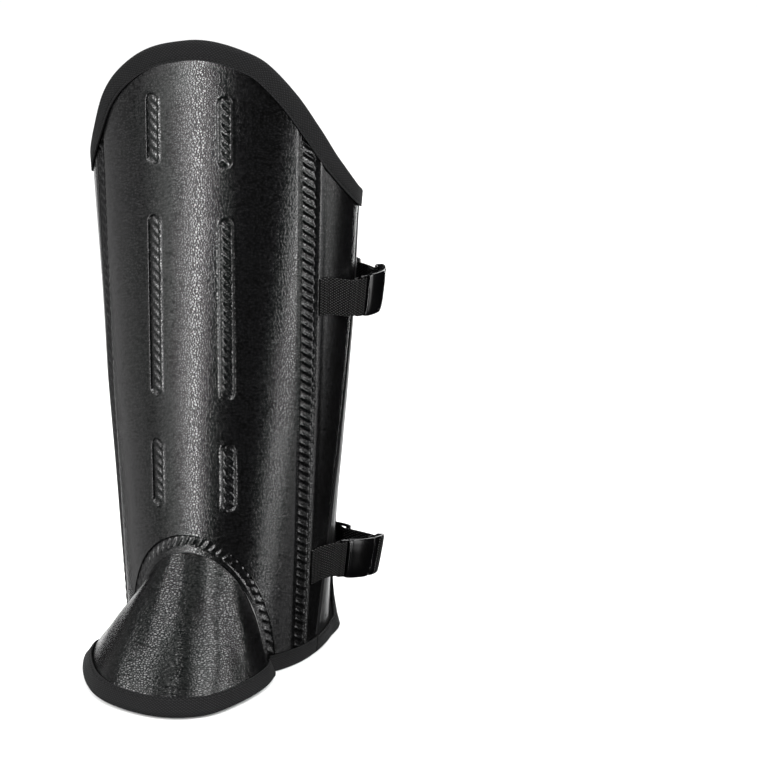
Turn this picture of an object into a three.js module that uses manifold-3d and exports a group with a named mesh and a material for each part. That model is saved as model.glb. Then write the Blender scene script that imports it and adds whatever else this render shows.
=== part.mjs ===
// Tactical leg guard for the left shin: a tapering tube of leather-like panels that is rolled round the
// leg, closed at the outer back by a lapped flap and held by two webbing straps with side release buckles.
// A flared instep flap covers the laces of the boot, and woven tape binds every free edge.
// Frame: millimetres, +Z up, the shin faces -Y and the buckles sit on the +X side. The guard stands at z = 0
// on its bottom binding and on the rim of the instep flap.
import * as THREE from "three";
import { mergeVertices } from "three/addons/utils/BufferGeometryUtils.js";
import Module from "manifold-3d";

// Clearances and sheet thicknesses
const GAP = 0.3;
const FRONT_WALL = 2.8;
const WALL = 2.0;
const TAPE = 0.9;
const TAPE_WIDTH = 12.5;
const TRIM = TAPE + GAP;
const TOP_TRIM = TRIM + 0.5;
const WELD_SINK = 0.6;

// Level cuts through the leg form: half an ellipse in front and half an ellipse behind
const SECTIONS = [
  { z: 0, centre: 0.3, halfWidth: 65.5, front: 77.4, back: 72 },
  { z: 190, centre: 3.3, halfWidth: 81.0, front: 74.0, back: 75 },
  { z: 350, centre: 7.0, halfWidth: 92.3, front: 71.1, back: 77 },
  { z: 420, centre: 8.3, halfWidth: 97.6, front: 69.8, back: 78 },
];

// Top outline: height of the edge over the arc length from the middle of the shin, outer side positive
const TOP_OUTLINE = [
  { arc: -420, z: 315 },
  { arc: -350, z: 315 },
  { arc: -320, z: 318.5 },
  { arc: -282, z: 328 },
  { arc: -252, z: 334 },
  { arc: -225, z: 335 },
  { arc: -122, z: 335 },
  { arc: -103, z: 340 },
  { arc: -85, z: 358 },
  { arc: -68.5, z: 383 },
  { arc: -51.5, z: 400 },
  { arc: -27.8, z: 414.5 },
  { arc: 0, z: 421 },
  { arc: 17, z: 420.7 },
  { arc: 37, z: 415 },
  { arc: 52, z: 406.8 },
  { arc: 71, z: 386.5 },
  { arc: 86, z: 365.5 },
  { arc: 102.5, z: 343.4 },
  { arc: 123, z: 326 },
  { arc: 145, z: 317 },
  { arc: 165, z: 315 },
  { arc: 200, z: 318.5 },
  { arc: 240, z: 328 },
];

// Upright lines of the closure, as arc lengths at the bottom and near the top
const CLOSURE_LINES = [
  { z: 0, flapSeam: 101, underlap: 138, flapEdge: 152, leatherEnd: 165 },
  { z: 335, flapSeam: 140, underlap: 172, flapEdge: 203, leatherEnd: 224 },
];
const OVERLAP = { flapLift: 2.8, rampStart: 30, underSink: 5.5 };
const FLARE = { start: 100, height: 60, reach: 10.3, power: 2 };
const TUCK = { from: 145, to: 215, fade: 60, depth: 3.2, low: 215, high: 325 };
const FLARE_CROWD = 1.6;
const FLAP_HOLE = { fromEdge: 11, z: 24, radius: 1.9 };
const CLOSURE_TOP = 317;
const STRIP_LIFT = 0.45;
const STRIP_THICKNESS = 0.9;

// Welded seams beside the shin panel, and the embossed slots on it
const WELD = { inner: 73.6, outer: 84 };
const SLOT = { column: 24.7, width: 10.4, depth: 1.0 };
const SLOT_ROWS = [
  { low: 115.8, high: 161.3 },
  { low: 190.6, high: 308.8 },
  { low: 341.5, high: 386.5 },
];

// Instep arch: two half ellipses in the developed shin surface, with the welded instep seam between them
const ARCH = { centre: -2.3, outerHalf: 59, outerTop: 98.5, innerHalf: 51, innerTop: 86.8 };

// Ribs of the instep flap: angle along the arch from its inner foot, lift of the root, end of the rib on the rim
const FLAP_RIBS = [
  { angle: 9, lift: 2.7, x: -64, y: -40 },
  { angle: 20, lift: 2.4, x: -74, y: -43 },
  { angle: 33, lift: 1.6, x: -80.5, y: -55 },
  { angle: 47, lift: 0.2, x: -74, y: -86 },
  { angle: 62, lift: -0.6, x: -52, y: -126 },
  { angle: 78, lift: -0.6, x: -25, y: -145 },
  { angle: 92, lift: -0.6, x: 4, y: -151.5 },
  { angle: 108, lift: -0.6, x: 29, y: -142 },
  { angle: 128, lift: -0.6, x: 45, y: -114 },
  { angle: 150, lift: -0.6, x: 52.5, y: -86 },
  { angle: 168, lift: -0.6, x: 53, y: -67 },
];
const FLAP_WALL = 2.2;
const FLAP_BULGE = 1.5;
const RIM_HEIGHT = 2.6;
const FLAP_STEPS = 34;

// Straps: webbing, the buckle's bent middle line and the slider, all in plan, with a height for each
const WEBBING = { thickness: 1.4, width: 24.6 };
const STRAPS = {
  upper: {
    sewnFrom: 86.5, sewnTo: 94, frontZ: 254, buckle: { x: 97.2, y: -8.0, heading: 27.5, approach: 27.5, radius: 48 },
    buckleZ: 249, buckleEndZ: 246, lean: 0.12, slider: { x: 68.2, y: 60.4, heading: 58 },
    sliderZ: 246, backFrom: 316, backTo: 238, backZ: 253,
  },
  lower: {
    sewnFrom: 86.5, sewnTo: 96, frontZ: 67, buckle: { x: 81.5, y: 0, heading: 40, approach: 25, radius: 58 },
    buckleZ: 65, buckleEndZ: 55, lean: 0.18, slider: { x: 58.7, y: 61, heading: 70 },
    sliderZ: 56, backFrom: 306, backTo: 203, backZ: 63,
  },
};
const SOCKET = { length: 26.5, half: 14.3, depth: 4.2, bar: 3.4 };
const PLUG = { end: 50, half: 14.2, depth: 3.2 };
const SLIDER = { half: 14.5, reach: 15, bar: 3, rail: 1.8, depth: 1.4, middle: 1.7 };

const SMALLEST_DETAIL = 0.01;
const wasm = await Module();
wasm.setup();

// Materials
const leather = new THREE.MeshStandardMaterial({ color: 0x1b1b1c, roughness: 0.42, metalness: 0 });
const smoothLeather = new THREE.MeshStandardMaterial({ color: 0x2c2c2d, roughness: 0.5, metalness: 0 });
const wovenTape = new THREE.MeshStandardMaterial({ color: 0x1f1f20, roughness: 0.85, metalness: 0 });
const looped = new THREE.MeshStandardMaterial({ color: 0x101011, roughness: 0.95, metalness: 0 });
const webbing = new THREE.MeshStandardMaterial({ color: 0x141415, roughness: 0.8, metalness: 0 });
const plastic = new THREE.MeshStandardMaterial({ color: 0x18181a, roughness: 0.35, metalness: 0 });

// Reading the tables
function between(rows, at, key, field) {
  let i = 1;
  while (i < rows.length - 1 && rows[i][key] < at) i += 1;
  const low = rows[i - 1];
  const high = rows[i];
  const t = (at - low[key]) / (high[key] - low[key]);
  return low[field] + (high[field] - low[field]) * t;
}

function slopeAt(rows, i, key, field) {
  const low = rows[Math.max(i - 1, 0)];
  const high = rows[Math.min(i + 1, rows.length - 1)];
  return (high[field] - low[field]) / (high[key] - low[key]);
}

function smoothBetween(rows, at, key, field) {
  let i = 1;
  while (i < rows.length - 1 && rows[i][key] < at) i += 1;
  const span = rows[i][key] - rows[i - 1][key];
  const t = THREE.MathUtils.clamp((at - rows[i - 1][key]) / span, 0, 1);
  const rise = rows[i][field] - rows[i - 1][field];
  // A long level stretch before a bend stays level
  const limit = (slope) => (Math.abs(rise) < 1e-6 ? 0 : slope);
  const a = limit(slopeAt(rows, i - 1, key, field)) * span;
  const b = limit(slopeAt(rows, i, key, field)) * span;
  const t2 = t * t;
  const t3 = t2 * t;
  return rows[i - 1][field] + rise * (3 * t2 - 2 * t3) + a * (t3 - 2 * t2 + t) + b * (t3 - t2);
}

// The leg form: a point from arc length, height and outward lift
const CUT_STEPS = 360;
const cuts = new Map();

function cutAt(z) {
  const key = z.toFixed(3);
  if (cuts.has(key)) return cuts.get(key);
  const centre = between(SECTIONS, z, "z", "centre");
  const halfWidth = between(SECTIONS, z, "z", "halfWidth");
  const front = between(SECTIONS, z, "z", "front");
  const back = between(SECTIONS, z, "z", "back");
  const start = Math.asin(-centre / halfWidth);
  const pointAt = (angle) => {
    const depth = Math.cos(angle) > 0 ? front : back;
    const normal = new THREE.Vector2(Math.sin(angle) / halfWidth, -Math.cos(angle) / depth).normalize();
    return { x: centre + halfWidth * Math.sin(angle), y: -depth * Math.cos(angle), normal };
  };
  const arcs = [0];
  let last = pointAt(start);
  for (let i = 1; i <= CUT_STEPS; i += 1) {
    const next = pointAt(start + (2 * Math.PI * i) / CUT_STEPS);
    arcs.push(arcs[i - 1] + Math.hypot(next.x - last.x, next.y - last.y));
    last = next;
  }
  const cut = { start, arcs, perimeter: arcs[CUT_STEPS], pointAt };
  cuts.set(key, cut);
  return cut;
}

function onForm(arc, z, lift) {
  const { start, arcs, perimeter, pointAt } = cutAt(z);
  const wrapped = THREE.MathUtils.euclideanModulo(arc, perimeter);
  let low = 0;
  let high = CUT_STEPS;
  while (high - low > 1) {
    const mid = (low + high) >> 1;
    if (arcs[mid] <= wrapped) low = mid;
    else high = mid;
  }
  const part = (wrapped - arcs[low]) / (arcs[high] - arcs[low]);
  const { x, y, normal } = pointAt(start + (2 * Math.PI * (low + part)) / CUT_STEPS);
  return new THREE.Vector3(x + normal.x * lift, y + normal.y * lift, z);
}

const closureLine = (field, z) => between(CLOSURE_LINES, z, "z", field);

// At the closure the flap lifts a little and flares at its bottom corner, and the underlap sinks below it
function flapLift(arc, z) {
  const edge = closureLine("flapEdge", z);
  const overlap = THREE.MathUtils.smoothstep(arc, closureLine("flapSeam", z) + OVERLAP.rampStart, edge);
  const low = Math.max(0, 1 - z / FLARE.height) ** FLARE.power;
  const along = Math.max(0, (arc - FLARE.start) / (edge - FLARE.start));
  return OVERLAP.flapLift * overlap + FLARE.reach * low * Math.min(along, 1) ** 2;
}

function underSink(arc, z) {
  const round = arc + cutAt(z).perimeter;
  const start = closureLine("underlap", z);
  const end = 2 * closureLine("flapEdge", z) - start;
  return OVERLAP.underSink * (1 - THREE.MathUtils.smoothstep(round, start, end));
}

// The upper strap draws the closure in near its top
function tuck(arc, z) {
  const round = THREE.MathUtils.euclideanModulo(arc, cutAt(z).perimeter);
  const start = THREE.MathUtils.smoothstep(round, TUCK.from - TUCK.fade, TUCK.from);
  const end = 1 - THREE.MathUtils.smoothstep(round, TUCK.to, TUCK.to + TUCK.fade);
  return TUCK.depth * start * end * THREE.MathUtils.smoothstep(z, TUCK.low, TUCK.high);
}

// The shell: arcs above zero run over the outer side to the flap, arcs below zero round the calf to the underlap
function onShell(arc, z, lift) {
  const overlap = arc > 0 ? flapLift(arc, z) : -underSink(arc, z);
  return onForm(arc, z, lift + overlap - tuck(arc, z));
}
const topHeight = (arc) => smoothBetween(TOP_OUTLINE, arc, "arc", "z");
const topSlope = (arc) => (topHeight(arc + 1) - topHeight(arc - 1)) / 2;
const panelTop = (arc) => topHeight(arc) - TOP_TRIM * Math.hypot(1, topSlope(arc));

// Closed geometry whose faces point outwards
function closed(geometry) {
  geometry.deleteAttribute("normal");
  geometry.deleteAttribute("uv");
  const merged = mergeVertices(geometry, 1e-4);
  const place = merged.attributes.position;
  const index = merged.index.array;
  const [a, b, c] = [new THREE.Vector3(), new THREE.Vector3(), new THREE.Vector3()];
  let volume = 0;
  for (let i = 0; i < index.length; i += 3) {
    a.fromBufferAttribute(place, index[i]);
    b.fromBufferAttribute(place, index[i + 1]);
    c.fromBufferAttribute(place, index[i + 2]);
    volume += a.dot(b.cross(c));
  }
  for (let i = 0; volume < 0 && i < index.length; i += 3) {
    [index[i + 1], index[i + 2]] = [index[i + 2], index[i + 1]];
  }
  return merged;
}

// A box of unit size, cut into steps, whose points are moved to a place by a function of (u, w, v)
function bentBox(steps, place) {
  const box = new THREE.BoxGeometry(1, 1, 1, steps.u, steps.w ?? 1, steps.v);
  const position = box.attributes.position;
  for (let i = 0; i < position.count; i += 1) {
    const u = position.getX(i) + 0.5;
    const w = position.getY(i) + 0.5;
    const v = position.getZ(i) + 0.5;
    const { x, y, z } = place(u, w, v);
    position.setXYZ(i, x, y, z);
  }
  return closed(box);
}

// A flat shape, extruded along a path of equal steps and moved into place by a function of (x, y, t)
function swept(shape, steps, place) {
  const bar = new THREE.ExtrudeGeometry(shape, { depth: 1, steps, bevelEnabled: false });
  const position = bar.attributes.position;
  for (let i = 0; i < position.count; i += 1) {
    const { x, y, z } = place(position.getX(i), position.getY(i), position.getZ(i));
    position.setXYZ(i, x, y, z);
  }
  return closed(bar);
}

function solidOf(geometry) {
  const mesh = new wasm.Mesh({
    numProp: 3,
    vertProperties: new Float32Array(geometry.attributes.position.array),
    triVerts: new Uint32Array(geometry.index.array),
  });
  return new wasm.Manifold(mesh);
}

function geometryOf(solid) {
  const { vertProperties, triVerts } = solid.asOriginal().simplify(SMALLEST_DETAIL).getMesh();
  const geometry = new THREE.BufferGeometry();
  geometry.setAttribute("position", new THREE.BufferAttribute(new Float32Array(vertProperties), 3));
  geometry.setIndex(new THREE.BufferAttribute(new Uint32Array(triVerts), 1));
  geometry.computeVertexNormals();
  return geometry;
}

const cutAway = (geometry, cutters) =>
  geometryOf(cutters.reduce((solid, cutter) => solid.subtract(solidOf(cutter)), solidOf(geometry)));
const joined = (pieces) => pieces.map(solidOf).reduce((solid, piece) => solid.add(piece));

const guard = new THREE.Group();

function add(name, geometry, material) {
  geometry.computeVertexNormals();
  const mesh = new THREE.Mesh(geometry, material);
  mesh.name = name;
  guard.add(mesh);
}

// Panels: a sheet between two arcs and two heights, on a surface given by its place function
function panel({ from, to, bottom, top, face, wall, surface, steps, crowd = 1 }) {
  return bentBox(steps, (u, w, v) => {
    const rise = v ** crowd;
    const guess = from(0) + (to(0) - from(0)) * u;
    const z = bottom + (top(guess) - bottom) * rise;
    const arc = from(z) + (to(z) - from(z)) * u;
    const height = bottom + (top(arc) - bottom) * rise;
    return surface(arc, height, face - wall * w);
  });
}

// Shin panel: the arch of the instep is cut away, and six slots are pressed into it
const HALF_TURN = Math.PI;
const CUTTER_IN = -30;
const SLOT_CUTTER_OUT = 8;
const ARCH_CUTTER_OUT = 140;

function wrappedCutter(shape, lifts) {
  const steps = lifts.length - 1;
  return swept(shape, steps, (x, y, t) => onForm(x, y, lifts[Math.round(t * steps)]));
}

function archShape() {
  const shape = new THREE.Shape();
  shape.absellipse(ARCH.centre, 0, ARCH.outerHalf + GAP, ARCH.outerTop + GAP, 0, HALF_TURN, false, 0);
  shape.lineTo(ARCH.centre - ARCH.outerHalf - GAP, -20);
  shape.lineTo(ARCH.centre + ARCH.outerHalf + GAP, -20);
  return new THREE.Shape(shape.getPoints(16));
}

function slotShape(arc, { low, high }) {
  const half = SLOT.width / 2;
  const shape = new THREE.Shape();
  shape.absarc(arc, high - half, half, 0, HALF_TURN, false);
  shape.absarc(arc, low + half, half, HALF_TURN, 2 * HALF_TURN, false);
  return new THREE.Shape(shape.getPoints(5));
}

function frontPanel() {
  const sheet = panel({
    from: () => -WELD.inner + GAP,
    to: () => WELD.inner - GAP,
    bottom: TRIM,
    top: panelTop,
    face: 0,
    wall: FRONT_WALL,
    surface: onShell,
    steps: { u: 22, v: 8 },
  });
  const cutters = [wrappedCutter(archShape(), [CUTTER_IN, -FRONT_WALL, 0, ARCH_CUTTER_OUT])];
  for (const side of [-1, 1]) {
    for (const row of SLOT_ROWS) {
      cutters.push(wrappedCutter(slotShape(side * SLOT.column, row), [-SLOT.depth, 0, SLOT_CUTTER_OUT]));
    }
  }
  return cutAway(sheet, cutters);
}

function weldSeam(side) {
  return panel({
    from: () => side * WELD.inner,
    to: () => side * WELD.outer,
    bottom: TRIM,
    top: panelTop,
    face: -WELD_SINK,
    wall: FRONT_WALL - WELD_SINK,
    surface: onShell,
    steps: { u: 2, v: 7 },
  });
}

const outerSidePanel = () =>
  panel({
    from: () => WELD.outer + GAP,
    to: (z) => closureLine("flapSeam", z) - GAP,
    bottom: TRIM,
    top: panelTop,
    face: 0,
    wall: WALL,
    surface: onShell,
    steps: { u: 8, v: 12 },
    crowd: FLARE_CROWD,
  });

function closureFlap() {
  const sheet = panel({
    from: (z) => closureLine("flapSeam", z),
    to: (z) => closureLine("flapEdge", z) - TRIM,
    bottom: TRIM,
    top: panelTop,
    face: 0,
    wall: WALL,
    surface: onShell,
    steps: { u: 12, v: 14 },
    crowd: FLARE_CROWD,
  });
  const centre = closureLine("flapEdge", FLAP_HOLE.z) - FLAP_HOLE.fromEdge;
  const disc = new THREE.Shape();
  disc.absarc(centre, FLAP_HOLE.z, FLAP_HOLE.radius, 0, 2 * HALF_TURN, false);
  const punch = swept(new THREE.Shape(disc.getPoints(6)), 1, (x, y, t) =>
    onShell(x, y, 10 * (2 * t - 1)),
  );
  return cutAway(sheet, [punch]);
}

// The back panel runs from the inner weld seam round the calf and ends, hidden, under the closure flap
const backArc = (field, z) => closureLine(field, z) - cutAt(z).perimeter;

const backPanel = () =>
  panel({
    from: () => -WELD.outer - GAP,
    to: (z) => backArc("underlap", z),
    bottom: TRIM,
    top: panelTop,
    face: 0,
    wall: WALL,
    surface: onShell,
    steps: { u: 34, v: 5 },
  });

const closureStrip = () =>
  panel({
    from: (z) => backArc("leatherEnd", z),
    to: (z) => backArc("underlap", z) + 1,
    bottom: TAPE_WIDTH + GAP,
    top: (arc) => topHeight(arc) - 1.04 * TAPE_WIDTH - 2 * GAP,
    face: STRIP_LIFT + STRIP_THICKNESS,
    wall: STRIP_THICKNESS,
    surface: onShell,
    steps: { u: 6, v: 5 },
  });

// The welded instep seam fills the ring between the two half ellipses of the arch
function onArch(angle, part, lift, floor) {
  const half = THREE.MathUtils.lerp(ARCH.innerHalf, ARCH.outerHalf, part);
  const top = THREE.MathUtils.lerp(ARCH.innerTop, ARCH.outerTop, part);
  const arc = ARCH.centre - half * Math.cos(angle);
  return onForm(arc, Math.max(top * Math.sin(angle), floor), lift);
}

const instepSeam = () =>
  bentBox({ u: 32, v: 1 }, (u, w, v) =>
    onArch(HALF_TURN * u, 1 - v, -WELD_SINK - (FRONT_WALL - WELD_SINK) * w, TRIM + 0.3 * Math.sin(HALF_TURN * u)),
  );

// Instep flap: a sheet of straight ribs between the inner edge of the arch and the rim on the floor
const rootPoints = FLAP_RIBS.map(({ angle, lift }) => {
  const turn = THREE.MathUtils.degToRad(angle);
  const arc = ARCH.centre - (ARCH.innerHalf - GAP) * Math.cos(turn);
  return onForm(arc, (ARCH.innerTop - GAP) * Math.sin(turn), lift);
});
const rimPoints = FLAP_RIBS.map(({ x, y }) => new THREE.Vector3(x, y, RIM_HEIGHT));
const rootCurve = new THREE.CatmullRomCurve3(rootPoints);
const rimCurve = new THREE.CatmullRomCurve3(rimPoints);

function flapFace(u, v) {
  const root = rootCurve.getPoint(u);
  const rim = rimCurve.getPoint(u);
  return root.lerp(rim, v);
}

function flapNormal(u, v) {
  const step = 0.01;
  const [low, high] = [Math.max(u - step, 0), Math.min(u + step, 1)];
  const along = flapFace(high, v).sub(flapFace(low, v));
  const down = flapFace(u, 1).sub(flapFace(u, 0));
  return along.cross(down).normalize().negate();
}

function onFlap(u, fromRim, lift) {
  const length = flapFace(u, 0).distanceTo(flapFace(u, 1));
  const v = 1 - fromRim / length;
  const bulge = FLAP_BULGE * Math.sin(HALF_TURN * v) * Math.sin(HALF_TURN * u);
  const point = flapFace(u, v).addScaledVector(flapNormal(u, Math.max(v, 0.25)), lift + bulge);
  point.z = Math.max(point.z, 0);
  return point;
}

const ribLength = (u) => flapFace(u, 0).distanceTo(flapFace(u, 1));
const instepFlap = () =>
  bentBox({ u: FLAP_STEPS, v: 4 }, (u, w, v) => onFlap(u, TRIM + (ribLength(u) - TRIM) * v, -FLAP_WALL * w));

// Binding tape: a U of woven tape folded over an edge, seen here in section with the edge at x = TRIM
function tapeSection(wall, { middle = false, slack = GAP } = {}) {
  const outside = slack + TAPE;
  const inside = -wall - slack - TAPE;
  const half = TAPE_WIDTH / 2;
  const corners = [
    [0, outside],
    ...(middle ? [[half, outside]] : []),
    [TAPE_WIDTH, outside],
    [TAPE_WIDTH, outside - TAPE],
    ...(middle ? [[half, outside - TAPE]] : []),
    [TAPE, outside - TAPE],
    [TAPE, inside + TAPE],
    ...(middle ? [[half, inside + TAPE]] : []),
    [TAPE_WIDTH, inside + TAPE],
    [TAPE_WIDTH, inside],
    ...(middle ? [[half, inside]] : []),
    [0, inside],
  ];
  return new THREE.Shape(corners.map(([x, y]) => new THREE.Vector2(x, y)));
}

// A tape along an outline in the developed surface: route(t) gives its point and the direction into the panel
function boundEdge({ wall, steps, route, surface, middle, slack }) {
  return swept(tapeSection(wall, { middle, slack }), steps, (x, y, t) => {
    const { arc, z, into } = route(t);
    return surface(arc + into.x * x, z + into.y * x, y);
  });
}

const UP = new THREE.Vector2(0, 1);
const topRoute = (from, to) => (t) => {
  const arc = THREE.MathUtils.lerp(from, to, t);
  const into = new THREE.Vector2(topSlope(arc), -1).normalize();
  return { arc, z: topHeight(arc), into };
};
const bottomRoute = (from, to) => (t) => ({ arc: THREE.MathUtils.lerp(from, to, t), z: 0, into: UP });

const seamAtTop = closureLine("flapSeam", CLOSURE_TOP);
const edgeAtTop = closureLine("flapEdge", CLOSURE_TOP);
const edgeBindingTop = topHeight(edgeAtTop - TAPE_WIDTH) - TAPE_WIDTH - 3 * GAP;
const BINDINGS = {
  top_binding: {
    wall: FRONT_WALL, steps: 58, surface: onShell, middle: true, slack: 2.5 * GAP,
    route: topRoute(backArc("underlap", CLOSURE_TOP), seamAtTop - GAP),
  },
  flap_top_binding: {
    wall: WALL, steps: 12, surface: onShell, slack: 1.5 * GAP,
    route: topRoute(seamAtTop + GAP, edgeAtTop),
  },
  bottom_binding_back: {
    wall: FRONT_WALL, steps: 44, surface: onShell, route: bottomRoute(-56, backArc("underlap", 0)),
  },
  bottom_binding_outer: {
    wall: FRONT_WALL, steps: 7, surface: onShell, route: bottomRoute(52, closureLine("flapSeam", 0) - GAP),
  },
  flap_bottom_binding: {
    wall: WALL, steps: 12, surface: onShell, slack: 1.5 * GAP,
    route: bottomRoute(closureLine("flapSeam", 0) + GAP, closureLine("flapEdge", 0)),
  },
  flap_edge_binding: {
    wall: WALL, steps: 14, surface: onShell, middle: true, slack: 1.5 * GAP,
    route: (t) => {
      const z = THREE.MathUtils.lerp(TAPE_WIDTH + GAP, edgeBindingTop, t ** FLARE_CROWD);
      return { arc: closureLine("flapEdge", z), z, into: new THREE.Vector2(-1, 0) };
    },
  },
};

const flapBinding = () => swept(tapeSection(FLAP_WALL, { middle: true, slack: 2 * GAP }), FLAP_STEPS, (x, y, t) => onFlap(t, x, y));

// Straps. A frame bends flat buckle parts along the arc of the buckle: u runs from the front to the
// back, v points away from the leg and w points up
function buckleFrame({ buckle, buckleZ, buckleEndZ, lean }) {
  return (u, v, w) => {
    const start = THREE.MathUtils.degToRad(buckle.heading);
    const { radius } = buckle;
    const turned = u <= 0 ? 0 : u / radius;
    const outward = start - turned;
    const centreX = buckle.x - radius * Math.cos(start);
    const centreY = buckle.y + radius * Math.sin(start);
    const reach = radius + v + w * lean;
    const straight = Math.min(u, 0);
    const approach = THREE.MathUtils.degToRad(buckle.approach);
    return new THREE.Vector3(
      centreX + reach * Math.cos(outward) + straight * Math.sin(approach),
      centreY - reach * Math.sin(outward) + straight * Math.cos(approach),
      buckleZ + (buckleEndZ - buckleZ) * (u / PLUG.end) + w,
    );
  };
}

function sliderFrame({ slider, sliderZ }) {
  const turn = THREE.MathUtils.degToRad(slider.heading);
  const along = new THREE.Vector3(-Math.sin(turn), Math.cos(turn), 0);
  const out = new THREE.Vector3(Math.cos(turn), Math.sin(turn), 0);
  return (u, v, w) =>
    new THREE.Vector3(slider.x, slider.y, sliderZ + w).addScaledVector(along, u).addScaledVector(out, v);
}

// A block in a frame, with its outer faces drawn in towards the ends and edges by a rounding
function block(frame, [u0, u1], [v0, v1], [w0, w1], steps = 3) {
  return bentBox({ u: steps, v: 1 }, (u, w, v) =>
    frame(u0 + (u1 - u0) * u, v1 + (v0 - v1) * w, w0 + (w1 - w0) * v),
  );
}

function softBlock(frame, [u0, u1], depth, half, pinch) {
  return bentBox({ u: 6, v: 4 }, (u, w, v) => {
    const end = Math.abs(2 * u - 1) ** 6;
    const edge = Math.abs(2 * v - 1) ** 4;
    const face = depth * (1 - 0.28 * edge - 0.16 * end);
    const height = half * (1 - pinch * end * Math.abs(2 * v - 1));
    return frame(u0 + (u1 - u0) * u, face * (1 - 2 * w), height * (2 * v - 1));
  });
}

function buckleSocket(frame) {
  const { length, half, depth, bar } = SOCKET;
  const shell = joined([
    softBlock(frame, [3, length], depth, half, 0.03),
    block(frame, [-bar, 4], [-1.5, 1.5], [-half + 0.6, half - 0.6]),
  ]);
  const holes = [
    block(frame, [-0.6, 3], [-6, 6], [-12.9, 12.9], 2),
    block(frame, [9, length + 2], [-2.5, 2.5], [-11.7, 11.7], 4),
    block(frame, [12, 21.5], [-2.1, 2.1], [-20, 20], 3),
  ];
  return geometryOf(holes.reduce((solid, hole) => solid.subtract(solidOf(hole)), shell));
}

function bucklePlug(frame) {
  const { end, half, depth } = PLUG;
  const start = SOCKET.length + GAP;
  const pieces = [
    softBlock(frame, [start, end], depth, half, 0.04),
    block(frame, [13, start + 2], [-1.5, 1.5], [-2.6, 2.6]),
  ];
  for (const side of [-1, 1]) {
    const arm = [side * 8, side * 11.3].sort((a, b) => a - b);
    const tip = [side * 8, side * 13.4].sort((a, b) => a - b);
    pieces.push(block(frame, [10, start + 2], [-1.7, 1.7], arm));
    pieces.push(block(frame, [12.6, 20.8], [-1.7, 1.7], tip, 3));
  }
  const ladder = [
    block(frame, [35, 39.5], [-8, 8], [-12.9, 12.9], 2),
    block(frame, [42.3, 46.3], [-8, 8], [-12.9, 12.9], 2),
    block(frame, [39, 43], [1.3, 8], [-12.9, 12.9], 2),
    block(frame, [39, 43], [-8, -1.3], [-12.9, 12.9], 2),
  ];
  return geometryOf(ladder.reduce((solid, hole) => solid.subtract(solidOf(hole)), joined(pieces)));
}

function sliderPiece(frame) {
  const { half, reach, bar, rail, depth, middle } = SLIDER;
  const plate = softBlock(frame, [-reach, reach], depth, half, 0.04);
  const open = half - rail;
  const holes = [
    block(frame, [-reach + bar, -middle], [-8, 8], [-open, open], 2),
    block(frame, [middle, reach - bar], [-8, 8], [-open, open], 2),
    block(frame, [-middle - 1, middle + 1], [0.5, 8], [-open, open], 2),
  ];
  return geometryOf(holes.reduce((solid, hole) => solid.subtract(solidOf(hole)), solidOf(plate)));
}

// Webbing: a flat ribbon on edge along stations that hold a point, and the points at its two edges
const HALF_WEB = WEBBING.width / 2;
const ON_PANEL = GAP + WEBBING.thickness / 2 + 0.15;
const stationOn = (surface, arc, z, lift) => ({
  low: surface(arc, z - HALF_WEB, lift),
  high: surface(arc, z + HALF_WEB, lift),
});
const stationIn = (frame, u, v) => ({ low: frame(u, v, -HALF_WEB), high: frame(u, v, HALF_WEB) });

function ribbon(stations, samples) {
  const low = new THREE.CatmullRomCurve3(stations.map((s) => s.low), false, "centripetal");
  const high = new THREE.CatmullRomCurve3(stations.map((s) => s.high), false, "centripetal");
  const side = (curve, t) => {
    const tangent = curve.getTangent(t);
    return new THREE.Vector3(tangent.y, -tangent.x, 0).normalize();
  };
  return bentBox({ u: samples, v: 1 }, (u, w, v) => {
    const curve = v > 0.5 ? high : low;
    return curve.getPoint(u).addScaledVector(side(curve, u), WEBBING.thickness * (0.5 - w));
  });
}

// The front strap is sewn beside the weld seam and folds round the bar of the socket
const SOCKET_FOLD = [
  { u: -13, v: 1.9 },
  { u: -7, v: 2.3 },
  { u: -3.4, v: 2.6 },
  { u: -1.2, v: 2.6 },
  { u: 0.6, v: 2.1 },
  { u: 1.25, v: 0.8 },
  { u: 1.25, v: -0.8 },
  { u: 0.6, v: -2.1 },
  { u: -1.2, v: -2.6 },
  { u: -3.4, v: -2.4 },
  { u: -6, v: -1.2 },
  { u: -9, v: -0.2 },
];

function frontWebbing(strap, frame) {
  const { sewnFrom, sewnTo, frontZ } = strap;
  const stations = [0, 0.5, 1].map((t) =>
    stationOn(onShell, THREE.MathUtils.lerp(sewnFrom, sewnTo, t), frontZ, ON_PANEL),
  );
  for (const { u, v } of SOCKET_FOLD) stations.push(stationIn(frame, u, v));
  return ribbon(stations, 34);
}

// The back strap is sewn at the calf, weaves through the slider and folds round the ladder bar of the plug
const SLIDER_WEAVE = [
  { u: 17.5, v: -2.4 },
  { u: 13.5, v: -2.5 },
  { u: 10, v: -1.9 },
  { u: 6, v: 0.9 },
  { u: 2.5, v: 2.0 },
  { u: -2.5, v: 2.0 },
  { u: -6, v: 0.9 },
  { u: -10, v: -1.9 },
  { u: -13.5, v: -2.5 },
  { u: -17.5, v: -2.4 },
];
const PLUG_FOLD = [
  { u: 51.5, v: -4.3 },
  { u: 48, v: -4.5 },
  { u: 45.6, v: -3.9 },
  { u: 44.5, v: -2.2 },
  { u: 44.2, v: 0 },
  { u: 43.7, v: 1.8 },
  { u: 42, v: 2.5 },
  { u: 40, v: 2.5 },
  { u: 38.1, v: 1.8 },
  { u: 37.6, v: 0 },
  { u: 37.3, v: -3 },
  { u: 37.8, v: -5.4 },
  { u: 40.5, v: -6.4 },
  { u: 45, v: -6.6 },
  { u: 51.5, v: -6.4 },
];

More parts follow.
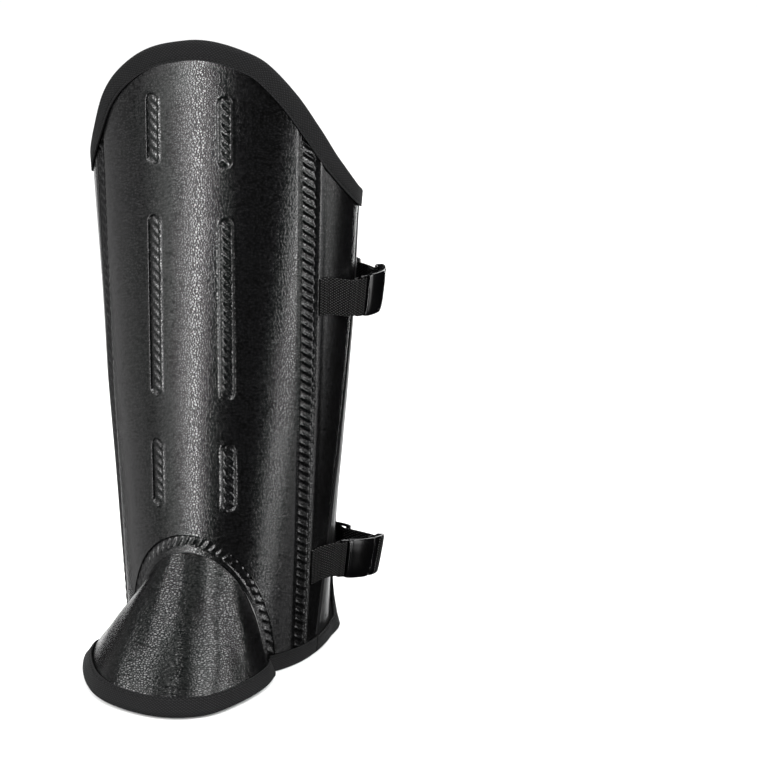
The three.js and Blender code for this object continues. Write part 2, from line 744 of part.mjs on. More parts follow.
function backWebbing(strap, plugFrame, slideFrame) {
  const { backFrom, backTo, backZ, sliderZ } = strap;
  const stations = [];
  const count = 9;
  for (let i = 0; i <= count; i += 1) {
    const t = i / count;
    const z = THREE.MathUtils.lerp(backZ, sliderZ, t);
    const arc = THREE.MathUtils.lerp(backFrom, backTo, t) - cutAt(z).perimeter;
    stations.push(stationOn(onForm, arc, z, ON_PANEL));
  }
  for (const { u, v } of SLIDER_WEAVE) stations.push(stationIn(slideFrame, u, v));
  for (const { u, v } of PLUG_FOLD) stations.push(stationIn(plugFrame, u, v));
  return ribbon(stations, 74);
}

// The guard, piece by piece
add("front_panel", frontPanel(), leather);
add("inner_weld_seam", weldSeam(-1), leather);
add("outer_weld_seam", weldSeam(1), leather);
add("instep_seam", instepSeam(), leather);
add("outer_side_panel", outerSidePanel(), leather);
add("closure_flap", closureFlap(), smoothLeather);
add("back_panel", backPanel(), leather);
add("closure_strip", closureStrip(), looped);
add("instep_flap", instepFlap(), leather);
add("instep_flap_binding", flapBinding(), wovenTape);
for (const [name, edge] of Object.entries(BINDINGS)) add(name, boundEdge(edge), wovenTape);
for (const [name, strap] of Object.entries(STRAPS)) {
  const frame = buckleFrame(strap);
  const slideFrame = sliderFrame(strap);
  add(`${name}_front_webbing`, frontWebbing(strap, frame), webbing);
  add(`${name}_buckle_socket`, buckleSocket(frame), plastic);
  add(`${name}_buckle_plug`, bucklePlug(frame), plastic);
  add(`${name}_slider`, sliderPiece(slideFrame), plastic);
  add(`${name}_back_webbing`, backWebbing(strap, frame, slideFrame), webbing);
}

// The origin goes to the middle of the bounding box in plan, on the floor
const bounds = new THREE.Box3().setFromObject(guard);
const middle = bounds.getCenter(new THREE.Vector3());
for (const mesh of guard.children) mesh.geometry.translate(-middle.x, -middle.y, -bounds.min.z);

export default guard;
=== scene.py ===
# %% Load the frame
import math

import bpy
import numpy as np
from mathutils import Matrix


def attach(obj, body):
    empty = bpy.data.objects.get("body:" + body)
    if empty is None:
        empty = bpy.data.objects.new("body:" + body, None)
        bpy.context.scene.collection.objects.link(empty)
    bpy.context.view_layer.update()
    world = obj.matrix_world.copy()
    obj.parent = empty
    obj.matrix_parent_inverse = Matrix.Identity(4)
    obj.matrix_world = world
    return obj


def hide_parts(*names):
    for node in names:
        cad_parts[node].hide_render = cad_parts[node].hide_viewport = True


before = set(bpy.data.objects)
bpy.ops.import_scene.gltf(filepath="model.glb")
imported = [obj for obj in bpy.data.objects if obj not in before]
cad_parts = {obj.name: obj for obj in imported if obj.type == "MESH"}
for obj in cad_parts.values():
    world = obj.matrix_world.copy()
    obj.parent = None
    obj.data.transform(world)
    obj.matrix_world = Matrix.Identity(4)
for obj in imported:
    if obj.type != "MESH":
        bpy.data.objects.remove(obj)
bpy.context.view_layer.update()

# %% [markdown]
# # The looks of a leg guard
# The frame holds the guard as plain solids. Each cell below makes one of its pieces again, with the shape
# and the finish that can be seen and touched, and lets it ride on the body "root". The box of the frame is
# kept, because at the end the visual model has to fit the same box.

# %% [markdown]
# ## The form of the leg
# A real guard is cut flat and rolled round the leg. So its pattern is the best place to work in: an arc
# length from the middle of the shin, and a height. One function then rolls any point of the pattern
# round the leg. A table of angles, made once, turns arc lengths into places on the ellipses, and numpy
# moves thousands of points at a time. All pattern lengths are in millimetres.

# %% Roll the pattern round the leg
# the origin of the frame, and level cuts: height, centre, half width, depth in front, depth behind
MIDDLE = np.array([10.679241, -37.181393, 0.0])
LEVELS = np.array([
    [0, 0.3, 65.5, 77.4, 72],
    [190, 3.3, 81.0, 74.0, 75],
    [350, 7.0, 92.3, 71.1, 77],
    [420, 8.3, 97.6, 69.8, 78],
])
LEVEL_STEP, SHARE_STEPS, HIGHEST = 2.0, 1440, 421.9
HEIGHTS = np.arange(0, 424, LEVEL_STEP)
SHARES = np.linspace(0, 1, SHARE_STEPS + 1)


def level(z):
    return [np.interp(z, LEVELS[:, 0], LEVELS[:, k]) for k in range(1, 5)]


def measure_level(z):
    centre, half, front, back = level(z)
    angle = math.asin(-centre / half) + 2 * math.pi * SHARES
    x = centre + half * np.sin(angle)
    y = -np.where(np.cos(angle) > 0, front, back) * np.cos(angle)
    run = np.concatenate([[0], np.cumsum(np.hypot(np.diff(x), np.diff(y)))])
    return run[-1], np.interp(SHARES * run[-1], run, angle)


MEASURED = [measure_level(z) for z in HEIGHTS]
GIRTHS = np.array([girth for girth, _ in MEASURED])
ANGLES = np.array([angles for _, angles in MEASURED])


def girth(z):
    return np.interp(z, HEIGHTS, GIRTHS)


def on_form(arc, z, lift):
    arc, z, lift = np.broadcast_arrays(*(np.asarray(v, float) for v in (arc, z, lift)))
    height = np.clip(z, 0, HIGHEST)
    share = np.mod(arc / girth(height), 1) * SHARE_STEPS
    row = np.minimum((height / LEVEL_STEP).astype(int), len(HEIGHTS) - 2)
    col = np.minimum(share.astype(int), SHARE_STEPS - 1)
    part, step = height / LEVEL_STEP - row, share - col
    low = ANGLES[row, col] * (1 - step) + ANGLES[row, col + 1] * step
    high = ANGLES[row + 1, col] * (1 - step) + ANGLES[row + 1, col + 1] * step
    angle = low * (1 - part) + high * part
    centre, half, front, back = level(height)
    depth = np.where(np.cos(angle) > 0, front, back)
    nx, ny = np.sin(angle) / half, -np.cos(angle) / depth
    size = np.hypot(nx, ny)
    x = centre + half * np.sin(angle) + nx / size * lift
    y = -depth * np.cos(angle) + ny / size * lift
    return np.stack([x, y, z], -1)


print("girth at the ankle and below the knee:", round(float(girth(0))), round(float(girth(420))), "mm")

# %% [markdown]
# ## Top edge and closure
# The top edge rises to a point over the shin and dips at the calf. A smooth curve through a few measured
# points gives it. At the closure the outer flap laps over the end of the back panel: the flap lifts a
# little, the end below it sinks a little, and the flap's bottom corner flares away from the leg. Near the
# top, round the closure, the shell is tucked in a little.

# %% Top edge, closure lines and lifts
TOP_EDGE = np.array([
    [-420, 315], [-350, 315], [-320, 318.5], [-282, 328], [-252, 334], [-225, 335], [-122, 335],
    [-103, 340], [-85, 358], [-68.5, 383], [-51.5, 400], [-27.8, 414.5], [0, 421], [17, 420.7],
    [37, 415], [52, 406.8], [71, 386.5], [86, 365.5], [102.5, 343.4], [123, 326], [145, 317],
    [165, 315], [200, 318.5], [240, 328],
])
# upright lines of the closure, as arc lengths on the floor and at the calf
CALF = 335
CLOSURE = {
    "flap_seam": (101, 140), "underlap": (138, 172), "flap_edge": (152, 203), "leather_end": (165, 224),
}
GAP, TRIM, TOP_TRIM, TAPE, TAPE_WIDTH = 0.3, 1.2, 1.7, 0.9, 12.5
FRONT_WALL, WALL = 2.8, 2.0
LAP, SINK, TUCK = 2.8, 5.5, 3.2
FLARE_START, FLARE_HEIGHT, FLARE_REACH = 100, 60, 10.3


def top_height(arc):
    x, y = TOP_EDGE.T
    before, after = np.r_[0, np.arange(len(x) - 1)], np.r_[np.arange(1, len(x)), len(x) - 1]
    slope = (y[after] - y[before]) / (x[after] - x[before])
    i = np.clip(np.searchsorted(x, arc, side="left"), 1, len(x) - 1)
    span, rise = x[i] - x[i - 1], y[i] - y[i - 1]
    t = np.clip((arc - x[i - 1]) / span, 0, 1)
    flat = np.abs(rise) < 1e-6
    a, b = np.where(flat, 0, slope[i - 1]) * span, np.where(flat, 0, slope[i]) * span
    return y[i - 1] + rise * (3 * t**2 - 2 * t**3) + a * (t**3 - 2 * t**2 + t) + b * (t**3 - t**2)


def top_slope(arc):
    return (top_height(arc + 1) - top_height(arc - 1)) / 2


def panel_top(arc):
    return top_height(arc) - TOP_TRIM * np.hypot(1, top_slope(arc))


def closure(name, z):
    low, high = CLOSURE[name]
    return low + (high - low) * np.asarray(z, float) / CALF


def ease(x, low, high):
    t = np.clip((x - low) / (high - low), 0, 1)
    return t * t * (3 - 2 * t)


def on_shell(arc, z, lift):
    arc, z = np.asarray(arc, float), np.asarray(z, float)
    edge, under = closure("flap_edge", z), closure("underlap", z)
    reach = np.clip((arc - FLARE_START) / (edge - FLARE_START), 0, 1)
    flare = np.maximum(0, 1 - z / FLARE_HEIGHT) ** 2 * reach**2
    lap = LAP * ease(arc, closure("flap_seam", z) + 30, edge) + FLARE_REACH * flare
    sink = -SINK * (1 - ease(arc + girth(z), under, 2 * edge - under))
    round_arc = np.mod(arc, girth(z))
    tuck = TUCK * ease(round_arc, 85, 145) * (1 - ease(round_arc, 215, 275)) * ease(z, 215, 325)
    return on_form(arc, z, lift + np.where(arc > 0, lap, sink) - tuck)


print("top edge over the shin and at the calf:", top_height(np.array([0.0, -200.0])))

# %% [markdown]
# ## From grids to solid pieces
# Every sheet here is a grid of points with an outer and an inner face. Quads join the points of each
# face, and walls close the sheet wherever a face ends. This makes a closed body in one go, and it also
# works when part of the grid is left out, as at the arch. The pattern lengths go along as a UV map, so
# that weaves and stitches can follow the cloth.

# %% Build a body from a grid
def to_frame(points):
    return (np.asarray(points, float) - MIDDLE) / 1000


def two_faced(outer, inner, pattern, keep=None, lining=1):
    rows, cols = outer.shape[:2]
    number = np.arange(rows * cols).reshape(rows, cols)
    quads = np.stack([number[:-1, :-1], number[:-1, 1:], number[1:, 1:], number[1:, :-1]], -1).reshape(-1, 4)
    if keep is not None:
        quads = quads[keep.reshape(-1)]
    count = rows * cols
    edges = np.concatenate([quads[:, [k, (k + 1) % 4]] for k in range(4)])
    key = np.sort(edges, 1) @ np.array([count, 1])
    _, back, times = np.unique(key, return_inverse=True, return_counts=True)
    rim = edges[times[back] == 1]
    walls = np.stack([rim[:, 1], rim[:, 0], rim[:, 0] + count, rim[:, 1] + count], -1)
    faces = np.concatenate([quads, quads[:, ::-1] + count, walls])
    finish = np.concatenate([np.zeros(len(quads)), np.full(len(quads), lining), np.zeros(len(walls))])
    points = np.concatenate([outer.reshape(-1, 3), inner.reshape(-1, 3)])
    flat = np.tile(np.broadcast_to(pattern, (rows, cols, 2)).reshape(-1, 2), (2, 1))
    used, faces = np.unique(faces, return_inverse=True)
    return points[used], faces.reshape(-1, 4), flat[used], finish.astype(int)


def together(parts):
    points, faces, flats, finishes, start = [], [], [], [], 0
    for p, f, u, m in parts:
        points.append(p)
        faces.append(f + start)
        flats.append(u)
        finishes.append(m)
        start += len(p)
    return np.concatenate(points), np.concatenate(faces), np.concatenate(flats), np.concatenate(finishes)


def make_piece(name, body, materials, nodes=(), crease=50):
    points, faces, flat, finish = body
    mesh = bpy.data.meshes.new(name)
    mesh.vertices.add(len(points))
    mesh.vertices.foreach_set("co", to_frame(points).ravel())
    mesh.loops.add(faces.size)
    mesh.loops.foreach_set("vertex_index", faces.ravel().astype(np.int32))
    mesh.polygons.add(len(faces))
    mesh.polygons.foreach_set("loop_start", np.arange(0, faces.size, 4, dtype=np.int32))
    mesh.polygons.foreach_set("material_index", finish.astype(np.int32))
    mesh.uv_layers.new(name="pattern").data.foreach_set("uv", (flat[faces.ravel()] / 1000).ravel())
    mesh.update(calc_edges=True)
    mesh.validate()
    mesh.shade_smooth()
    mesh.set_sharp_from_angle(angle=math.radians(crease))
    for material in materials:
        mesh.materials.append(material)
    piece = bpy.data.objects.new(name, mesh)
    bpy.context.scene.collection.objects.link(piece)
    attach(piece, "root")
    if nodes:
        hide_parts(*nodes)
    print(name, len(faces), "quads")
    return piece


def steps(start, end, coarse, fine_spans=(), fine=1.0):
    marks = [start]
    while marks[-1] < end - 1e-6:
        here = marks[-1]
        close = any(low - coarse < here < high for low, high in fine_spans)
        marks.append(min(here + (fine if close else coarse), end))
    return np.array(marks)


# %% [markdown]
# ## Shader helpers
# A few short functions keep the node trees readable: one adds a node with its inputs, one does a sum.
# An effect that several finishes share becomes a node group, built once. It puts out only masks and
# heights. The shader itself stays in each material, where its plain numbers sit on its own sockets.

# %% Node helpers
def add_node(tree, kind, inputs=(), **settings):
    node = tree.nodes.new(kind)
    for key, value in settings.items():
        setattr(node, key, value)
    for key, value in dict(inputs).items():
        if isinstance(value, bpy.types.NodeSocket):
            tree.links.new(value, node.inputs[key])
        else:
            node.inputs[key].default_value = value
    return node


def sums(tree, operation, *values):
    return add_node(tree, "ShaderNodeMath", dict(enumerate(values)), operation=operation).outputs[0]


def remap(tree, value, low, high, to_low, to_high):
    inputs = {0: value, 1: low, 2: high, 3: to_low, 4: to_high}
    return add_node(tree, "ShaderNodeMapRange", inputs).outputs[0]


def new_group(name, takes, gives):
    group = bpy.data.node_groups.new(name, "ShaderNodeTree")
    for label, kind, start in takes:
        socket = group.interface.new_socket(name=label, in_out="INPUT", socket_type="NodeSocket" + kind)
        if start is not None:
            socket.default_value = start
    for label in gives:
        group.interface.new_socket(name=label, in_out="OUTPUT", socket_type="NodeSocketFloat")
    return group, group.nodes.new("NodeGroupInput").outputs, group.nodes.new("NodeGroupOutput")


def use_group(tree, group, **inputs):
    node = tree.nodes.new("ShaderNodeGroup")
    node.node_tree = group
    for key, value in inputs.items():
        socket = node.inputs[key.replace("_", " ")]
        if isinstance(value, bpy.types.NodeSocket):
            tree.links.new(value, socket)
        else:
            socket.default_value = value
    return node.outputs


# %% [markdown]
# ## Pebbled grain
# Embossed leather cloth has small rounded pebbles with fine valleys between them, here about 1.7 mm across
# and a little less high. A Voronoi texture gives the cells, and noise bends their borders. The outputs are
# the height, a mask of the valleys for painted shade, and broad blotches that vary the polish.

# %% Grain group
def build_grain():
    takes = [("Place", "Vector", None), ("Cells per metre", "Float", 580.0)]
    group, given, out = new_group("pebbled_grain", takes, ["Height", "Valley shade", "Blotches"])
    squeeze = add_node(group, "ShaderNodeVectorMath", {0: given[0], 1: (1, 1, 1.25)}, operation="MULTIPLY")
    wide = add_node(group, "ShaderNodeTexNoise", {"Vector": given[0], "Scale": 300.0, "Detail": 2.0})
    bend = add_node(group, "ShaderNodeVectorMath", {0: wide.outputs["Color"], "Scale": 0.0016},
                    operation="SCALE")
    place = add_node(group, "ShaderNodeVectorMath", {0: squeeze.outputs[0], 1: bend.outputs[0]})
    cells = add_node(group, "ShaderNodeTexVoronoi", {"Vector": place.outputs[0], "Scale": given[1]},
                     feature="DISTANCE_TO_EDGE")
    pebble = remap(group, cells.outputs["Distance"], 0.0, 0.26, 0.0, 1.0)
    domed = sums(group, "POWER", pebble, 0.7)
    # the valley mask: the leather paints shade into the valleys with it
    valley = remap(group, cells.outputs["Distance"], 0.03, 0.26, 1.0, 0.0)
    fine = add_node(group, "ShaderNodeTexNoise", {"Vector": given[0], "Scale": 2600.0, "Detail": 2.0})
    height = sums(group, "ADD", domed, sums(group, "MULTIPLY", fine.outputs["Fac"], 0.08))
    group.links.new(height, out.inputs["Height"])
    group.links.new(valley, out.inputs["Valley shade"])
    broad = add_node(group, "ShaderNodeTexNoise", {"Vector": given[0], "Scale": 28.0, "Detail": 3.0})
    group.links.new(remap(group, broad.outputs["Fac"], 0.35, 0.65, 0.0, 1.0), out.inputs["Blotches"])
    return group


GRAIN = build_grain()
print("grain group:", len(GRAIN.nodes), "nodes")

# %% [markdown]
# ## Weave
# Tape and webbing are woven: yarns run along the strip, and others cross them, over and under in turn.
# The pattern's UV map gives a place along and across the strip. Counting yarns both ways tells which
# yarn lies on top, and a half sine gives each one its round back. The pitches set how coarse it is.

# %% Weave group
def build_weave():
    takes = [("Place", "Vector", None), ("Along pitch", "Float", 0.001), ("Across pitch", "Float", 0.001),
             ("Twill", "Float", 1.0)]
    group, given, out = new_group("woven_yarns", takes, ["Height", "Crown light"])
    place = add_node(group, "ShaderNodeSeparateXYZ", {0: given[0]})
    along = sums(group, "DIVIDE", place.outputs[0], given[1])
    across = sums(group, "DIVIDE", place.outputs[1], given[2])
    column, row = sums(group, "FLOOR", along), sums(group, "FLOOR", across)
    count = sums(group, "ADD", sums(group, "MULTIPLY", column, given[3]), row)
    over = sums(group, "FLOORED_MODULO", count, 2.0)
    back_a = sums(group, "SINE", sums(group, "MULTIPLY", sums(group, "FRACT", along), math.pi))
    back_b = sums(group, "SINE", sums(group, "MULTIPLY", sums(group, "FRACT", across), math.pi))
    top = sums(group, "MULTIPLY", sums(group, "POWER", back_a, 0.6), back_b)
    under = sums(group, "MULTIPLY", sums(group, "MULTIPLY", back_a, back_b), 0.35)
    lifted = sums(group, "MULTIPLY", over, top)
    lowered = sums(group, "MULTIPLY", sums(group, "SUBTRACT", 1.0, over), under)
    group.links.new(sums(group, "ADD", lifted, lowered), out.inputs["Height"])
    # the crowns of the yarns on top, a mask for painted light on the cloth
    group.links.new(lifted, out.inputs["Crown light"])
    return group


WEAVE = build_weave()
print("weave group:", len(WEAVE.nodes), "nodes")

# %% [markdown]
# ## The finishes
# Black goods are mostly gloss: their own colour is only one or two percent, and what is seen is how
# sharply each one mirrors the lights. So every finish below has its own roughness, and bumps that break
# the mirror at the right size: pebbles, yarns, loops or the faint waviness of moulded plastic. One helper
# takes two colours, two roughnesses and a bump, with the mask that chooses between each pair.

# %% Material helper
def new_material(name):
    material = bpy.data.materials.new(name)
    material.use_nodes = True
    return material, material.node_tree, material.node_tree.nodes["Principled BSDF"]


def on_object(tree):
    return add_node(tree, "ShaderNodeTexCoord").outputs["Object"]


def on_cloth(tree):
    return add_node(tree, "ShaderNodeUVMap", uv_map="pattern").outputs[0]


def blotches(tree, place):
    return use_group(tree, GRAIN, Place=place)["Blotches"]


def set_look(tree, shader, colours, mask, rough, rough_mask, height, depth, shine_shade=None, **plain):
    if shine_shade is not None:
        tree.links.new(shine_shade, shader.inputs["Metallic"])
    dark, light = colours
    colour = add_node(tree, "ShaderNodeMix", {0: mask, 6: (*dark, 1), 7: (*light, 1)}, data_type="RGBA")
    tree.links.new(colour.outputs[2], shader.inputs["Base Color"])
    tree.links.new(remap(tree, rough_mask, 0.0, 1.0, *rough), shader.inputs["Roughness"])
    bump = add_node(tree, "ShaderNodeBump", {"Height": height, "Distance": depth, "Strength": 1.0})
    tree.links.new(bump.outputs[0], shader.inputs["Normal"])
    for key, value in plain.items():
        shader.inputs[key.replace("_", " ")].default_value = value


# %% [markdown]
# ## Leather and lining
# Grained leather is glossy on its pebbles. Its valleys get painted shade, darker in colour and in shine.
# A specular level that varies gets lost in the export, so the valleys get some Metallic instead: a black
# metal mirrors almost nothing. The instep flap has larger cells, flattened until they read as creases. The
# closure flap is smooth and satin, and the lining is a matt textile.

# %% Leather finishes
def grained_leather(name, cells, stretch, depth, shine_shade):
    material, tree, shader = new_material(name)
    place = add_node(tree, "ShaderNodeVectorMath", {0: on_object(tree), 1: (1, 1, stretch)},
                     operation="MULTIPLY").outputs[0]
    height, valley_shade, patches = use_group(tree, GRAIN, Place=place, Cells_per_metre=cells)
    # painted shade: the valleys get a darker colour and some Metallic, which takes their shine away
    set_look(tree, shader, [(0.005, 0.005, 0.0053), (0.0025, 0.0025, 0.0025)], valley_shade, (0.14, 0.18), patches,
             height, depth, shine_shade=sums(tree, "MULTIPLY", valley_shade, shine_shade), Specular_IOR_Level=0.6)
    return material


def smooth_leather():
    material, tree, shader = new_material("smooth_leather")
    grain = use_group(tree, GRAIN, Place=on_object(tree), Cells_per_metre=1500.0)
    set_look(tree, shader, [(0.005, 0.005, 0.0052), (0.003, 0.003, 0.003)], grain["Blotches"], (0.34, 0.42),
             grain["Blotches"], grain["Height"], 0.00001, Specular_IOR_Level=0.4)
    return material


def lining_textile():
    material, tree, shader = new_material("lining_textile")
    height, crown_light = use_group(tree, WEAVE, Place=on_cloth(tree), Along_pitch=0.0011, Across_pitch=0.0014)
    # the yarn crowns are painted lighter and the gaps between them darker: painted light and shade
    set_look(tree, shader, [(0.006, 0.006, 0.006), (0.012, 0.012, 0.012)], crown_light, (0.85, 0.95),
             blotches(tree, on_object(tree)), height, 0.0002, Sheen_Weight=0.15)
    return material


GRAINED = grained_leather("grained_leather", 580.0, 1.0, 0.000055, 0.6)
CREASED = grained_leather("creased_leather", 420.0, 1.9, 0.000075, 0.7)
SMOOTH, LINING = smooth_leather(), lining_textile()

# %% [markdown]
# ## Cloth, plastic and thread
# Tape and webbing share the weave with other pitches; their yarn crowns are painted lighter, as painted light.
# Only the tops of the coarse webbing's yarns catch light, painted as pale dots on near black, so its mask is
# raised to a power. The closure strip has small loops from a Voronoi texture, painted lighter on their tops,
# the thread is painted lighter on its ridges, and the buckles are black plastic that is nearly smooth.

# %% Cloth and plastic finishes
def woven_tape():
    material, tree, shader = new_material("woven_tape")
    height, crown_light = use_group(tree, WEAVE, Place=on_cloth(tree), Along_pitch=0.0013, Across_pitch=0.0009)
    # the yarn crowns are painted lighter and the gaps between them darker: painted light and shade
    set_look(tree, shader, [(0.004, 0.004, 0.0042), (0.015, 0.015, 0.0155)], crown_light, (0.62, 0.8),
             blotches(tree, on_object(tree)), height, 0.0002,
             Sheen_Weight=0.03, Sheen_Roughness=0.5, Specular_IOR_Level=0.06)
    return material


def webbing_cloth():
    material, tree, shader = new_material("webbing")
    height, crown_light = use_group(tree, WEAVE, Place=on_cloth(tree), Along_pitch=0.0016, Across_pitch=0.0009)
    # pale dots on the yarn tops are painted highlights, the near black between them painted shade
    yarn_glints = sums(tree, "POWER", crown_light, 2.6)
    set_look(tree, shader, [(0.0004, 0.0004, 0.0004), (0.075, 0.075, 0.075)], yarn_glints, (0.4, 0.5),
             blotches(tree, on_object(tree)), height, 0.0006, Specular_IOR_Level=0.04)
    return material


def closure_fabric():
    material, tree, shader = new_material("closure_fabric")
    here = on_object(tree)
    loops = add_node(tree, "ShaderNodeTexVoronoi", {"Vector": here, "Scale": 900.0})
    height = sums(tree, "SUBTRACT", 1.0, loops.outputs["Distance"])
    # the loop tops are painted lighter than the gaps between them: painted light
    set_look(tree, shader, [(0.003, 0.003, 0.003), (0.014, 0.014, 0.014)], height, (0.7, 0.9),
             blotches(tree, here), height, 0.0005, Sheen_Weight=0.05, Specular_IOR_Level=0.2)
    return material


def buckle_plastic():
    material, tree, shader = new_material("buckle_plastic")
    here = on_object(tree)
    fine = add_node(tree, "ShaderNodeTexNoise", {"Vector": here, "Scale": 1800.0, "Detail": 3.0}).outputs[0]
    set_look(tree, shader, [(0.001, 0.001, 0.0011), (0.002, 0.002, 0.0022)], blotches(tree, here),
             (0.14, 0.22), fine, fine, 0.00001, Specular_IOR_Level=0.6)
    return material


def thread():
    material, tree, shader = new_material("thread")
    inputs = {"Vector": on_object(tree), "Scale": 900.0, "Distortion": 2.0}
    twist = add_node(tree, "ShaderNodeTexWave", inputs).outputs["Fac"]
    # the ridges of the twist are painted lighter than its grooves: painted light
    set_look(tree, shader, [(0.004, 0.004, 0.004), (0.012, 0.012, 0.012)], twist, (0.5, 0.6), twist,
             twist, 0.0001, Specular_IOR_Level=0.1)
    return material


TAPE_CLOTH, WEBBING, LOOPS = woven_tape(), webbing_cloth(), closure_fabric()
PLASTIC, THREAD = buckle_plastic(), thread()
print("finishes:", [m.name for m in bpy.data.materials])

# %% [markdown]
# ## Rope embossing
# Slots and welded seams carry the same pressed rope: a row of slanted ovals, as if a twisted cord lay in
# the groove. It is real relief on the real thing, so it is relief here too: a height for each point of
# the pattern, added to the sheet before it is rolled round the leg.

# %% Rope relief
def rope(along, across, pitch, half, slant=0.75, sharp=1.5):
    turn = (along + slant * across) / pitch
    oval = (0.5 + 0.5 * np.cos(2 * math.pi * turn)) ** sharp
    return oval * np.clip(1 - (across / half) ** 2, 0, 1) ** 0.6


SLOT_ROWS = [(115.8, 161.3), (190.6, 308.8), (341.5, 386.5)]
SLOT_COLUMNS, SLOT_HALF = (-24.7, 24.7), 4.4


def slot_distance(arc, z, centre, low, high):
    beyond = np.maximum(np.abs(z - (low + high) / 2) - ((high - low) / 2 - SLOT_HALF), 0)
    return np.hypot(arc - centre, beyond) - SLOT_HALF


def slot_relief(arc, z):
    lift = np.zeros(np.broadcast(arc, z).shape)
    for centre in SLOT_COLUMNS:
        for low, high in SLOT_ROWS:
            d = slot_distance(arc, z, centre, low, high)
            floor = -1.0 * ease(-d, 0.0, 0.9)
            lip = 0.36 * np.exp(-((d - 0.5) / 0.55) ** 2)
            pressed = 1.0 * rope(z - low, arc - centre, 6.0, 3.9) * ease(-d, 0.6, 1.4)
            lift = lift + floor + lip + pressed
    return lift


print("slots:", len(SLOT_COLUMNS) * len(SLOT_ROWS), "of width", 2 * SLOT_HALF, "mm")

# %% [markdown]
# ## Shin panel
# The shin panel is the stiff front of the guard, with six slots pressed into it and the arch for the
# boot cut out at the bottom. Its grid is fine where the rope relief is and coarse elsewhere. Points
# that fall just inside the arch are moved onto its edge, which gives a clean curve without a boolean.

# %% Shin panel
ARCH = {"centre": -2.3, "outer": (59, 98.5), "inner": (51, 86.8)}


def pull_to_arch(arc, z, half, top):
    across, up = (arc - ARCH["centre"]) / half, z / top
    size = np.hypot(across, up)
    inside = size < 1
    cell = inside[:-1, :-1] & inside[:-1, 1:] & inside[1:, :-1] & inside[1:, 1:]
    grow = np.where(inside, 1 / np.maximum(size, 1e-6), 1)
    return ARCH["centre"] + across * grow * half, up * grow * top, ~cell


def waves(arc, z, size=0.25):
    broad = np.sin(arc / 23 + z / 61) + 0.7 * np.sin(z / 37 - arc / 41 + 1.3)
    return size * (broad + 0.4 * np.sin(z / 17 + arc / 29))


def rounded_edges(arc, low, high, drop=0.7, reach=1.6):
    return -drop * (np.exp(-((arc - low) / reach) ** 2) + np.exp(-((high - arc) / reach) ** 2))


def shin_panel():
    side = 73.3
    arcs = steps(-side, side, 2.3, [(-side, -side + 4), (-31.5, -18), (18, 31.5), (side - 4, side)], 0.75)
    refs = steps(0, 414, 2.6, [(low - 4, high + 4) for low, high in SLOT_ROWS], 1.0) / 414
    arc, ref = np.meshgrid(arcs, refs)
    z = TRIM + (panel_top(arc) - TRIM) * ref
    arc, z, keep = pull_to_arch(arc, z, ARCH["outer"][0] + GAP, ARCH["outer"][1] + GAP)
    lift = slot_relief(arc, z) + rounded_edges(arc, -side, side) + waves(arc, z, 0.12)
    outer = on_shell(arc, z, lift)
    inner = on_shell(arc, z, -FRONT_WALL)
    body = two_faced(outer, inner, np.stack([arc, z], -1), keep)
    return make_piece("shin_panel", body, [GRAINED, LINING], ["front_panel"])


shin_panel()

# %% [markdown]
# ## Welded seams
# Beside the shin panel the sheets are welded together in a sunken band with the rope pressed into it.
# The instep seam is the same band bent round the arch, with a flat margin along its inner half, and a
# short notch across it just past the top.

# %% Welded seams
def weld_seam(name, node, side):
    edges = sorted([side * 73.6, side * 84])
    arcs = np.linspace(*edges, 15)
    arc, ref = np.meshgrid(arcs, np.linspace(0, 1, 560))
    z = TRIM + (panel_top(arc) - TRIM) * ref
    middle = side * 78.8
    lift = -1.3 + 1.5 * rope(z, arc - middle, 6.2, 4.6, 0.62, 2.2)
    lift = lift + 0.6 * np.exp(-((np.abs(arc - middle) - 5.2) / 0.5) ** 2)
    body = two_faced(on_shell(arc, z, lift), on_shell(arc, z, -FRONT_WALL), np.stack([arc, z], -1))
    make_piece(name, body, [GRAINED, LINING], [node])


def instep_seam():
    turn, part = np.meshgrid(np.linspace(0, math.pi, 260), np.linspace(0, 1, 17))
    half = ARCH["inner"][0] + (ARCH["outer"][0] - ARCH["inner"][0]) * part
    top = ARCH["inner"][1] + (ARCH["outer"][1] - ARCH["inner"][1]) * part
    arc, z = ARCH["centre"] - half * np.cos(turn), np.maximum(top * np.sin(turn), TRIM + 0.3 * np.sin(turn))
    wide = 8 + 3.7 * np.sin(turn)
    run = 240 * turn / math.pi
    across = (part - 0.66) * wide
    band = ease(part, 0.33, 0.38) * (1 - ease(part, 0.95, 1.0))
    lift = -0.55 - 0.6 * band + 0.75 * rope(run, -across, 6.5, 3.2, 0.8, 2.2) * band
    lift = lift - 0.6 * np.exp(-((run - 127) / 0.8) ** 2) * band
    body = two_faced(on_form(arc, z, lift), on_form(arc, z, -FRONT_WALL), np.stack([arc, z], -1))
    return make_piece("instep_seam_band", body, [GRAINED, LINING], ["instep_seam"])


weld_seam("inner_weld_band", "inner_weld_seam", -1)
weld_seam("outer_weld_band", "outer_weld_seam", 1)
instep_seam()

# %% [markdown]
# ## Side, back and closure
# The side panel carries a thin piping line beside the weld. The smooth flap closes over a strip of
# looped fabric on the end of the back panel. Both ends of these sheets lean, because the guard tapers,
# so their grids run between two closure lines instead of straight up.

# %% Sheets between two lines
def leaning_grid(start, end, cols, rows, bottom=TRIM, top=panel_top):
    u, v = np.meshgrid(np.linspace(0, 1, cols), np.linspace(0, 1, rows))
    guess = start(0.0) + (end(0.0) - start(0.0)) * u
    z = bottom + (top(guess) - bottom) * v
    arc = start(z) + (end(z) - start(z)) * u
    return arc, bottom + (top(arc) - bottom) * v


